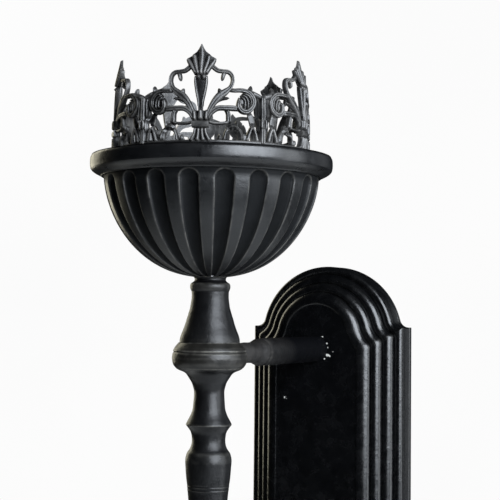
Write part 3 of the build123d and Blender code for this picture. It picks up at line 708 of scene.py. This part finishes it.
# The strokes of one half of a panel: a kind, then points (along, height, half width)
CROWN_HALF = [
    ("scroll", [(3.7, 16.3, 1.2), (5.4, 20.9, 1.3), (8.1, 25.5, 1.7), (11.3, 29, 2.1), (14.8, 31.5, 1.7),
     (17.7, 34.2, 1), (19.2, 38, 0.9), (18.6, 41.4, 0.9), (16.5, 43.2, 0.9), (13.4, 43.5, 0.9),
     (10.2, 43.9, 1), (7.5, 45.7, 1.1), (5.2, 47.9, 1.3)]),
    ("round", [(14.7, 43.2, 0.9), (13.6, 41.5, 1), (13.1, 39.7, 0.9), (12.8, 38, 0.4)]),
    ("leaf", [(12.4, 28.6, 2.2), (11.6, 31.2, 1.5), (10.7, 33.6, 0.25)]),
    ("leaf", [(6, 21.5, 0.9), (8.9, 25.3, 0.9), (11.9, 27.1, 0.9), (15, 27.7, 0.7), (17.2, 27.9, 0.3)]),
    ("scroll", [(3.7, 15.1, 1.2), (6.3, 19.2, 1.3), (10.1, 21.7, 1.3), (14.9, 22, 1.3), (19.1, 22, 1.4),
     (22.8, 21.8, 1.2)]),
    ("scroll", [(17.1, 32.7, 0.9), (20.2, 32.5, 0.9), (24.5, 32.8, 1), (28.3, 32.1, 1.1),
     (31.2, 29.8, 1.3), (32.4, 26.5, 1.3), (31.1, 22.7, 1.3), (27.8, 20.3, 1.3), (24.6, 20.8, 1.3),
     (22.9, 23.1, 1.2), (23, 25.8, 1), (23.9, 28.2, 0.8)]),
    ("flat", [(24.5, 30.2, 1), (26.4, 28.1, 2.9), (27.7, 25.3, 3.5), (27.7, 21.8, 2)]),
    ("rib", [(24.2, 29, 0.5), (26.2, 27.2, 0.8), (26.6, 24.6, 0.8), (26.2, 22.4, 0.5)]),
    ("rib", [(24.6, 30, 0.5), (27.4, 28.6, 0.8), (28.5, 25.4, 0.8), (28.2, 22.2, 0.5)]),
    ("rib", [(25.4, 30.9, 0.4), (28.8, 29.8, 0.7), (30.4, 26.8, 0.7), (30, 23.8, 0.4)]),
    ("leaf", [(29.3, 31.7, 1.7), (30.6, 33.7, 1.2), (31, 35.9, 0.25)]),
    ("round", [(30.8, 31.8, 1.2), (34.2, 30.5, 1.3), (38, 29.3, 1)]),
    ("leaf", [(34.2, 29.8, 1.5), (35.2, 25.2, 1.7), (34.9, 20.6, 1.8), (35.7, 16.9, 1.5)]),
    ("scroll", [(14.9, 21.4, 0.9), (16.3, 18.9, 1.1), (16.7, 15.5, 1.3), (17.2, 12.3, 1.8)]),
    ("leaf", [(16.2, 10, 1.4), (18.1, 11.2, 2), (20.4, 11.3, 1.7), (22.3, 9.4, 1.3)]),
    ("leaf", [(21.1, 11, 1.1), (21.4, 12.8, 0.8), (21.5, 14.6, 0.25)]),
    ("round", [(4.4, 13.9, 0.6), (7.9, 13.1, 0.6), (11.5, 13, 0.6), (15, 13.4, 0.6), (16.8, 14.3, 0.7)]),
    ("leaf", [(21.7, 10.2, 1.3), (23.7, 7.7, 1.5), (24.9, 2.5, 2.1)]),
    ("round", [(16.8, 10.3, 1.2), (15.5, 8.5, 0.8), (14.6, 6.5, 0.6), (13.9, 2.5, 0.9)]),
    ("leaf", [(11.3, 2.5, 2.1), (11.4, 5, 1), (11.2, 6.9, 0.25)]),
    ("round", [(31.3, 11.9, 0.6), (29.5, 8, 0.9), (27.8, 2.5, 1)]),
    ("round", [(31.2, 11.9, 0.6), (33.1, 8.3, 0.9), (34.7, 2.5, 1)]),
    ("leaf", [(31.5, 8.8, 0.5), (31.9, 2.5, 1.2)]),
    ("flat", [(29.4, 19.6, 1.5), (30.7, 16.2, 1.8), (31.6, 12.2, 1.6)]),
    ("flat", [(26.7, 7.3, 0.9), (27.3, 2.5, 1.7)]),
    ("bud", [(37.4, 16.8, 0.6), (36.9, 13.3, 1.1), (37.4, 10.2, 0.5)]),
    ("leaf", [(34.3, 17.6, 1.2), (35.5, 14.2, 1), (35.5, 10.8, 0.9), (36.5, 7.9, 0.7), (37.1, 2.5, 1)]),
    ("round", [(37.6, 1.5, 0.65), (37.6, 15, 0.65), (37.6, 30, 0.65)]),
    # lobes of the palmette, the flutes of the cup and the ribs of the foot
    ("lobe", [(1.6, 41.2, 0.9), (2.9, 45.6, 1.3), (4, 49.4, 1.55), (4.5, 52, 1.3), (4.7, 53.4, 0.5)]),
    ("lobe", [(2.9, 41.6, 0.8), (4.9, 44.9, 1.15), (6.7, 47.6, 1.4), (8.1, 49.6, 1.1), (8.9, 50.7, 0.4)]),
    ("lobe", [(3.3, 14.2, 1.1), (3.4, 17.4, 1.1), (3.9, 20.6, 1)]),
    ("lobe", [(1, 10.4, 0.9), (1.2, 6.4, 1.1), (2, 1.8, 1.6)]),
    ("lobe", [(2.9, 10.4, 0.9), (3.5, 6.6, 1), (5.9, 1.8, 1.5)]),
    ("bud", [(1.7, 41.6, 0.8), (1.7, 39.9, 1.2), (1.7, 38.4, 0.6)]),
    ("round", [(3.3, 40.6, 0.5), (3.3, 36.6, 0.6), (2.4, 31, 0.6), (1.3, 25.4, 0.5), (1, 19.8, 0.4)]),
]

# Strokes on the panel's centre line
CROWN_MIDDLE = [
    ("lobe", [(0, 41, 1.1), (0, 46, 1.5), (0, 51, 1.95), (0, 54.8, 1.7), (0, 57.6, 0.9), (0, 59.2, 0.25)]),
    ("flat", [(0, 41, 3.9), (0, 42, 4.6), (0, 44.2, 6), (0, 46, 7.3), (0, 47.6, 7.6), (0, 49.2, 8.3),
     (0, 50.6, 9.1), (0, 52, 6.4), (0, 53.4, 4.8), (0, 54.6, 3.1), (0, 56.8, 1.5), (0, 59.3, 0.2)]),
    ("flat", [(0, 41.2, 3.2), (0, 36.8, 3.5), (0, 31, 2.6), (0, 25.4, 1.6), (0, 19.8, 1.3)]),
    ("lobe", [(0, 14, 1.7), (0, 17.4, 1.6), (0, 21.4, 1.2)]),
    ("flat", [(0, 14, 4.3), (0, 17.4, 4.4), (0, 20.4, 4.7)]),
    ("flat", [(0, 10.8, 3.8), (0, 7.6, 4), (0, 4.6, 5.2), (0, 1.5, 7.4)]),
]

# Front relief of each kind of stroke over its width: a base and a rise, in millimetres
RELIEF = {
    "round": (0.8, 2.0), "scroll": (1.0, 2.3), "leaf": (0.8, 1.9), "flat": (1.1, 0.3), "rib": (1.0, 1.7),
    "lobe": (1.3, 2.3), "bud": (1.4, 2.4),
}


def relief_height(kind, v):
    """How far the stroke's front stands out at v, from -1 to 1 across it."""
    base, rise = RELIEF[kind]
    arch = sqrt(max(0.0, 1 - v * v))
    if kind == "scroll":
        return base + rise * (arch - 0.3 * exp(-((v / 0.32) ** 2)))
    if kind == "leaf":
        return base + rise * (arch * 0.8 + 0.35 * exp(-((v / 0.2) ** 2)) - 0.15)
    return base + rise * arch


def crown_place(along, height, out):
    """A point of the flat drawing carried onto the crown: out is measured from the back wall."""
    lean = crown_lean * share_of(height, crown_lean_start, crown_lean_height) ** 1.5
    angle = along / crown_radius
    radius = crown_back_radius + out - lean
    return radius * sin(angle), -radius * cos(angle), height


def add_stroke(shape, kind, points, back):
    """A closed ribbon with a shaped front, a wall round it and a plain back."""
    run = smooth_run(points, stroke_step)
    across = [sin(pi / 2 * v) for v in (-1, -0.82, -0.6, -0.4, -0.2, 0, 0.2, 0.4, 0.6, 0.82, 1)]
    rows = []
    for number, (along, height, half) in enumerate(run):
        before = run[max(number - 1, 0)]
        after = run[min(number + 1, len(run) - 1)]
        run_x, run_z = after[0] - before[0], after[1] - before[1]
        size = hypot(run_x, run_z) or 1.0
        side_x, side_z = -run_z / size, run_x / size
        spread = stroke_spread if kind in ("round", "scroll", "leaf") and half > 0.45 else 0.0
        half = max(half, 0.08) + spread
        end = min(number, len(run) - 1 - number) * stroke_step
        tuck = min(1.0, 0.35 + end / max(half, 0.6) * 0.65)
        thin = 1 - tip_thin_share * share_of(height, tip_thin_start, tip_thin_height)
        row = []
        for v in across:
            out = relief_height(kind, v) * tuck * thin
            row.append(crown_place(along + side_x * half * v, height + side_z * half * v, out + back))
        for v in (1, 0, -1):
            row.append(crown_place(along + side_x * half * v * 0.96,
                                   height + side_z * half * v * 0.96, back))
        rows.append(row)
    shape.grid(rows, cap_start=True, cap_end=True)


def add_sector(shape, section, start, end, steps):
    """A closed (radius, height) section swept round part of a turn."""
    rows = []
    for k in range(steps + 1):
        angle = start + (end - start) * k / steps
        rows.append([(r * sin(angle), -r * cos(angle), z) for r, z in section])
    shape.grid(rows, cap_start=True, cap_end=True)


def crown_mesh():
    """One pierced panel, facing -Y, with its base at zero."""
    shape = Shape()
    number = 0
    for kind, points in CROWN_HALF:
        for side in (1, -1):
            number += 1
            placed = [(side * along, height, half) for along, height, half in points]
            add_stroke(shape, kind, placed, stroke_layer * number)
    for kind, points in CROWN_MIDDLE:
        number += 1
        add_stroke(shape, kind, points, stroke_layer * number)
    reach = pi / crown_count - crown_joint_gap / 2 / crown_radius
    back = crown_back_radius
    strip = [(back, 0), (61.2, 0), (61.5, 0.5), (61.5, 1.2), (61, 1.8), (60.7, 2.3), (60.8, 2.9),
             (60.4, 3.4), (59.2, 3.5), (back, 3.4)]
    add_sector(shape, strip, -reach, reach, 72)
    collar = [(back, 10.4), (61.4, 10.4), (62.2, 11.1), (62.4, 12.3), (62.2, 13.5), (61.4, 14.2),
              (back, 14.2)]
    add_sector(shape, collar, -4.9 / crown_radius, 4.9 / crown_radius, 12)
    foot = [(crown_foot_inner, 0.3), (crown_foot_inner + 0.3, 0), (back + 0.4, 0), (back + 0.4, 2.6),
            (back - 0.5, 2.05), (crown_foot_inner + 0.3, 2), (crown_foot_inner, 1.7)]
    add_sector(shape, foot, -reach, reach, 48)
    return shape


def make_crown():
    """Five copies of the panel round the rim, each with its tip bent a little up or down."""
    shape = crown_mesh()
    panels = []
    for number in range(crown_count):
        turn = Matrix.Rotation(radians(crown_turn + number * 360 / crown_count), 4, "Z")
        place = Matrix.Translation((0, stem_y, rim_top)) @ turn
        bent = Shape()
        bent.faces = shape.faces
        for x, y, z in shape.verts:
            raise_by = tip_bends[number] * max(0.0, z - tip_bend_start) / tip_bend_height
            bent.verts.append(place @ Vector((x, y, z + raise_by)))
        panel = add_object(f"crown_casting_{number + 1}", bent, sharp=48)
        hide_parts(f"crown_panel_{number + 1}")
        panels.append(panel)
    return panels


# Pan

def make_pan():
    """The loose pan: flat seat, rounded wall and a rolled lip."""
    low = pan_low.z - rim_top
    radius = (pan_high.x - pan_low.x) / 2
    section = profile(
        [(0, low), (radius - 1, low)],
        [(radius - 1, low), (radius - 0.3, low + 0.4), (radius, low + 1.2), (radius, low + 4.6)],
        [(radius, low + 4.6), (radius - 0.1, low + 5.5), (radius - 0.8, low + 6),
         (radius - 1.5, low + 5.5), (radius - 1.6, low + 4.8)],
        [(radius - 1.6, low + 4.8), (radius - 1.8, low + 3.4), (radius - 2.8, low + 2.3),
         (radius - 4.2, low + 2)],
        [(radius - 4.2, low + 2), (34, low + 2), (0, low + 2)],
        step=1.2, ease=0.3)
    pan = turned_piece("drip_pan", section, rim_top, 160, body="pan", sharp=50)
    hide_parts("candle_pan")
    return pan


# Materials

def node_tree(name):
    material = bpy.data.materials.new(name)
    material.use_nodes = True
    tree = material.node_tree
    shader = tree.nodes["Principled BSDF"]
    return material, tree, shader


def plug(tree, source, socket):
    """Joins a value to one of the shader's sockets."""
    tree.links.new(source, tree.nodes["Principled BSDF"].inputs[socket])


def ramp(tree, source, low, high, start, end):
    """Maps a value range to two colours or greys."""
    node = tree.nodes.new("ShaderNodeValToRGB")
    node.color_ramp.elements[0].position = start
    node.color_ramp.elements[0].color = (*low, 1)
    node.color_ramp.elements[1].position = end
    node.color_ramp.elements[1].color = (*high, 1)
    tree.links.new(source, node.inputs["Fac"])
    return node.outputs["Color"]


def span(tree, source, from_low, from_high, to_low, to_high):
    node = tree.nodes.new("ShaderNodeMapRange")
    node.inputs["From Min"].default_value = from_low
    node.inputs["From Max"].default_value = from_high
    node.inputs["To Min"].default_value = to_low
    node.inputs["To Max"].default_value = to_high
    tree.links.new(source, node.inputs["Value"])
    return node.outputs["Result"]


def grain(tree, scale, detail, roughness=0.5, distortion=0.0, stretch=(1, 1, 1)):
    """Noise in object space, in cycles per metre."""
    place = tree.nodes.new("ShaderNodeTexCoord")
    mapping = tree.nodes.new("ShaderNodeMapping")
    mapping.inputs["Scale"].default_value = stretch
    node = tree.nodes.new("ShaderNodeTexNoise")
    node.inputs["Scale"].default_value = scale
    node.inputs["Detail"].default_value = detail
    node.inputs["Roughness"].default_value = roughness
    node.inputs["Distortion"].default_value = distortion
    tree.links.new(place.outputs["Object"], mapping.inputs["Vector"])
    tree.links.new(mapping.outputs["Vector"], node.inputs["Vector"])
    return node.outputs["Fac"]


def attribute(tree, name):
    node = tree.nodes.new("ShaderNodeAttribute")
    node.attribute_name = name
    return node.outputs["Fac"]


def combine(tree, operation, a, b):
    node = tree.nodes.new("ShaderNodeMath")
    node.operation = operation
    node.use_clamp = operation in ("ADD", "SUBTRACT")
    for socket, value in zip(node.inputs, (a, b)):
        if isinstance(value, (int, float)):
            socket.default_value = value
        else:
            tree.links.new(value, socket)
    return node.outputs["Value"]


def mix(tree, factor, a, b):
    node = tree.nodes.new("ShaderNodeMix")
    node.data_type = "RGBA"
    tree.links.new(factor, node.inputs["Factor"])
    for socket, value in ((node.inputs[6], a), (node.inputs[7], b)):
        if isinstance(value, tuple):
            socket.default_value = (*value, 1)
        else:
            tree.links.new(value, socket)
    return node.outputs[2]


def bump(tree, layers):
    """Stacks (height source, strength, distance) layers of bump."""
    normal = None
    for source, strength, distance in layers:
        node = tree.nodes.new("ShaderNodeBump")
        node.inputs["Strength"].default_value = strength
        node.inputs["Distance"].default_value = distance
        tree.links.new(source, node.inputs["Height"])
        if normal is not None:
            tree.links.new(normal, node.inputs["Normal"])
        normal = node.outputs["Normal"]
    return normal


def black_paint(name, dark, light, worn, wear_amount, rough, coarse=0.25, specular=0.5):
    """Satin black paint on a casting: cloudy, rubbed at its edges, duller in hollows, and rougher and far
    less shiny where painted shade is marked.
    """
    material, tree, shader = node_tree(name)
    clouds = grain(tree, 34, 5, 0.6)
    patches = grain(tree, 120, 6, 0.62, 0.4)
    fine = grain(tree, 1400, 4, 0.6)
    cloudy = combine(tree, "MULTIPLY", clouds, 0.6)
    patchy = combine(tree, "MULTIPLY", patches, 0.4)
    tone = ramp(tree, combine(tree, "ADD", cloudy, patchy), dark, light, 0.38, 0.66)
    uneven = span(tree, patches, 0.38, 0.62, 0.15, 1.0)
    edge = combine(tree, "MULTIPLY", attribute(tree, "wear"), uneven)
    edge = combine(tree, "MULTIPLY", edge, wear_amount)
    specks = span(tree, fine, 0.66, 0.74, 0.0, 0.35)
    specked = combine(tree, "MULTIPLY", specks, span(tree, clouds, 0.5, 0.62, 0.0, wear_amount))
    colour = mix(tree, combine(tree, "ADD", edge, specked), tone, worn)
    plug(tree, colour, "Base Color")
    roughness = combine(tree, "ADD", span(tree, patches, 0.3, 0.7, rough - 0.05, rough + 0.08),
                        combine(tree, "MULTIPLY", attribute(tree, "hollow"), 0.18))
    # painted shade: the marked places, such as the bowl's flutes and its top under the rim, get rougher
    # paint and much less shine, so they look darker
    shade_amount = attribute(tree, "painted_shade")
    roughness = combine(tree, "ADD", roughness, combine(tree, "MULTIPLY", shade_amount, 0.30))
    plug(tree, roughness, "Roughness")
    shine = span(tree, shade_amount, 0.05, 0.6, specular, specular * 0.18)
    plug(tree, shine, "Specular IOR Level")
    orange_peel = grain(tree, 520, 3, 0.55)
    relief = bump(tree, [(patches, coarse, 0.0009), (orange_peel, 0.22, 0.0003), (fine, 0.10, 0.0001)])
    plug(tree, relief, "Normal")
    return material


def arm_finish():
    """The arm's paint: brown-grey and brushed thin at the hub, near black towards the plate."""
    material = black_paint("arm_paint", (0.0055, 0.0050, 0.0046), (0.030, 0.027, 0.024),
                           (0.18, 0.17, 0.155), 0.9, 0.50, 1.0)
    tree = material.node_tree
    shader = tree.nodes["Principled BSDF"]
    place = tree.nodes.new("ShaderNodeTexCoord")
    split = tree.nodes.new("ShaderNodeSeparateXYZ")
    tree.links.new(place.outputs["Object"], split.inputs["Vector"])
    near_hub = span(tree, split.outputs["Y"], (stem_y + 40) * MM, (stem_y + 112) * MM, 1.0, 0.0)
    blotches = span(tree, grain(tree, 90, 4, 0.6), 0.35, 0.65, 0.5, 1.0)
    before = shader.inputs["Base Color"].links[0].from_socket
    colour = mix(tree, combine(tree, "MULTIPLY", near_hub, blotches), (0.0018, 0.0019, 0.0024), before)
    plug(tree, colour, "Base Color")
    plug(tree, span(tree, near_hub, 0.0, 1.0, 0.03, 0.5), "Specular IOR Level")
    return material


def panel_paint():
    """The plate's paint: as the rest, with chips where the arm's foot and the panel lost theirs."""
    material = black_paint("plate_paint", (0.0006, 0.0007, 0.0009), (0.0018, 0.0019, 0.0023),
                           (0.07, 0.068, 0.06), 0.5, 0.24)
    tree = material.node_tree
    shader = tree.nodes["Principled BSDF"]
    place = tree.nodes.new("ShaderNodeTexCoord")
    ragged = grain(tree, 900, 5, 0.7)
    # each chip's place across and up the panel, and its size
    spots = [(5.2, arm_z + 8.9, 0.7), (8.7, arm_z + 4.2, 0.8), (9.6, arm_z + 1.1, 0.5),
             (9.2, arm_z - 4.4, 1.3), (10.9, arm_z - 4.9, 1.0), (6.9, arm_z - 7.2, 0.7),
             (13.6, arm_z - 1.8, 0.5), (-24.7, arm_z - 36.3, 0.8), (-23.4, arm_z - 37.2, 0.5)]
    chips = None
    for x, z, size in spots:
        away = tree.nodes.new("ShaderNodeVectorMath")
        away.operation = "DISTANCE"
        away.inputs[1].default_value = (x * MM, -(board_depth + 3 * step_depth) * MM, z * MM)
        tree.links.new(place.outputs["Object"], away.inputs[0])
        near = span(tree, away.outputs["Value"], 0, 2.0 * size * MM, 1.0, 0.0)
        mark = combine(tree, "MULTIPLY", near, ragged)
        chips = mark if chips is None else combine(tree, "MAXIMUM", chips, mark)
    chipped = span(tree, chips, 0.27, 0.33, 0.0, 1.0)
    before = shader.inputs["Base Color"].links[0].from_socket
    plug(tree, mix(tree, chipped, before, (0.55, 0.54, 0.50)), "Base Color")
    return material


def steel(name, tint, rough, scale=260):
    """Plated or blackened steel with turning marks and dull patches."""
    material, tree, shader = node_tree(name)
    patches = grain(tree, scale, 5, 0.6)
    marks = grain(tree, 2600, 2, 0.5, 0.0, (1, 1, 0.12))
    dull = tuple(c * 0.62 for c in tint)
    plug(tree, ramp(tree, patches, dull, tint, 0.35, 0.65), "Base Color")
    shader.inputs["Metallic"].default_value = 1.0
    plug(tree, span(tree, patches, 0.3, 0.7, rough + 0.14, rough - 0.05), "Roughness")
    plug(tree, bump(tree, [(marks, 0.25, 0.0001), (patches, 0.15, 0.0003)]), "Normal")
    return material


def dress(target, material):
    target.data.materials.clear()
    target.data.materials.append(material)


# Build

plate = make_plate()
arm = make_arm()
hub = make_hub()
neck = make_neck()
lower = make_lower()
finial = make_finial()
bowl = make_bowl()
rim = make_rim()
crown = make_crown()
pan = make_pan()

worn = (0.10, 0.095, 0.085)
rubbed = (0.24, 0.23, 0.20)
stem_paint = black_paint("stem_paint", (0.0026, 0.0027, 0.0030), (0.0056, 0.0056, 0.0058),
                         rubbed, 0.75, 0.34, 0.4, 0.30)
hub_paint = black_paint("hub_paint", (0.0040, 0.0039, 0.0036), (0.0140, 0.0130, 0.0110),
                        rubbed, 0.95, 0.36, 0.6, 0.36)
bowl_paint = black_paint("bowl_paint", (0.0024, 0.0027, 0.0030), (0.0055, 0.0060, 0.0066),
                         worn, 0.8, 0.36, 0.3, 0.45)
rim_paint = black_paint("rim_paint", (0.0026, 0.0028, 0.0032), (0.0060, 0.0062, 0.0068),
                        worn, 0.6, 0.30, 0.15)
crown_paint = black_paint("crown_paint", (0.0018, 0.0018, 0.0020), (0.0050, 0.0051, 0.0055),
                          (0.16, 0.155, 0.147), 0.8, 0.34, 0.3)
pan_paint = black_paint("pan_paint", (0.0030, 0.0030, 0.0034), (0.0080, 0.0080, 0.0084),
                        worn, 0.6, 0.46, 0.2)
dress(plate, panel_paint())
dress(arm, arm_finish())
for piece in (neck, lower, finial):
    dress(piece, stem_paint)
dress(hub, hub_paint)
dress(bowl, bowl_paint)
dress(rim, rim_paint)
for piece in crown:
    dress(piece, crown_paint)
dress(pan, pan_paint)
plated = steel("plated_steel", (0.62, 0.62, 0.63), 0.34)
blackened = steel("blackened_steel", (0.10, 0.10, 0.105), 0.42)
for name in ("arm_washer", "arm_nut", "tie_rod", "rod_washer", "rod_nut", "hanger_top", "hanger_bottom",
             "hanger_screws"):
    dress(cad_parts[name], plated)
for name in ("rim_screws", "crown_screws"):
    dress(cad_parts[name], blackened)


# Studio

def make_floor():
    """A pale disc well under the object, its edge turned down."""
    shape = Shape()
    section = profile([(0.0, 0.0), (floor_radius, 0.0)], [(floor_radius, 0.0), (floor_radius + 5, -12.0)],
                      step=150, ease=4)
    shape.turned(section, floor_place, segments=96)
    floor = new_object("studio_floor", shape.mesh("studio_floor"))
    floor.data.shade_smooth()
    material, tree, shader = node_tree("floor_pale")
    pale = ramp(tree, grain(tree, 6, 4), (0.74, 0.74, 0.73), (0.80, 0.80, 0.79), 0.3, 0.7)
    plug(tree, pale, "Base Color")
    shader.inputs["Roughness"].default_value = 0.85
    dress(floor, material)


def make_camera():
    """From the right and a little above the arm, at the photograph's distance and lens."""
    yaw = radians(26.486)
    pitch = radians(2.656)
    roll_angle = radians(0.556)
    forward = Vector((-sin(yaw) * cos(pitch), cos(yaw) * cos(pitch), sin(pitch)))
    right = Vector((cos(yaw), sin(yaw), 0))
    up = right.cross(forward)
    rolled_right = right * cos(roll_angle) + up * sin(roll_angle)
    rolled_up = up * cos(roll_angle) - right * sin(roll_angle)
    data = bpy.data.cameras.new("photo_camera")
    data.lens = camera_lens
    data.sensor_width = 36.0
    data.clip_end = 30.0
    camera = new_object("photo_camera", data)
    turn = Matrix((rolled_right, rolled_up, -forward)).transposed()
    camera.matrix_world = Matrix.Translation(Vector(camera_place) * MM) @ turn.to_4x4()
    bpy.context.scene.camera = camera


def make_world():
    world = bpy.data.worlds.new("studio")
    bpy.context.scene.world = world
    world.use_nodes = True
    background = world.node_tree.nodes["Background"]
    background.inputs["Color"].default_value = (0.80, 0.90, 1.0, 1)
    background.inputs["Strength"].default_value = 0.012


def make_backdrop():
    """A pale shell far round the studio that only the camera sees, so it lights nothing."""
    shape = Shape()
    half_turn = [pi * k / 24 for k in range(25)]
    section = [(backdrop_radius * sin(tilt), backdrop_radius * cos(tilt)) for tilt in half_turn]
    shape.turned(section, (0, 0, 0), segments=48)
    backdrop = new_object("studio_backdrop", shape.mesh("studio_backdrop"))
    backdrop.data.shade_smooth()
    for flag in ("diffuse", "glossy", "transmission", "volume_scatter", "shadow"):
        setattr(backdrop, "visible_" + flag, False)
    material, tree, shader = node_tree("backdrop_pale")
    white = ramp(tree, grain(tree, 0.6, 2), (0.96, 0.96, 0.96), (0.98, 0.98, 0.98), 0.3, 0.7)
    plug(tree, white, "Emission Color")
    shader.inputs["Base Color"].default_value = (0, 0, 0, 1)
    shader.inputs["Specular IOR Level"].default_value = 0
    shader.inputs["Emission Strength"].default_value = 1.0
    dress(backdrop, material)


def studio_light(name, azimuth, height, distance, size, radiance, colour):
    """A soft panel at an azimuth from -Y towards +X, facing the holder, by how bright it looks."""
    turn = radians(azimuth)
    target = Vector(light_target)
    place = target + Vector((distance * sin(turn), -distance * cos(turn), height))
    light = bpy.data.lights.new(name, "AREA")
    light.shape = "RECTANGLE"
    light.size, light.size_y = size
    light.energy = radiance * pi * size[0] * size[1]
    light.color = colour
    lamp = new_object(name, light)
    lamp.location = place
    lamp.rotation_euler = (target - place).to_track_quat("-Z", "Y").to_euler()


make_floor()
make_backdrop()
make_camera()
make_world()
studio_light("key_right", 62, 0.55, 1.7, (1.5, 1.6), 12.5, (0.86, 0.92, 1.0))
studio_light("side_right", 104, 0.1, 1.8, (0.7, 1.5), 4.5, (0.90, 0.95, 1.0))
studio_light("back_right", 150, 0.2, 1.9, (0.9, 1.4), 0.35, (0.90, 0.95, 1.0))
studio_light("left_warm", -114, 0.4, 1.8, (0.9, 1.5), 2.5, (1.0, 0.95, 0.74))
scene = bpy.context.scene
scene.view_settings.view_transform = "Standard"
scene.view_settings.look = "None"
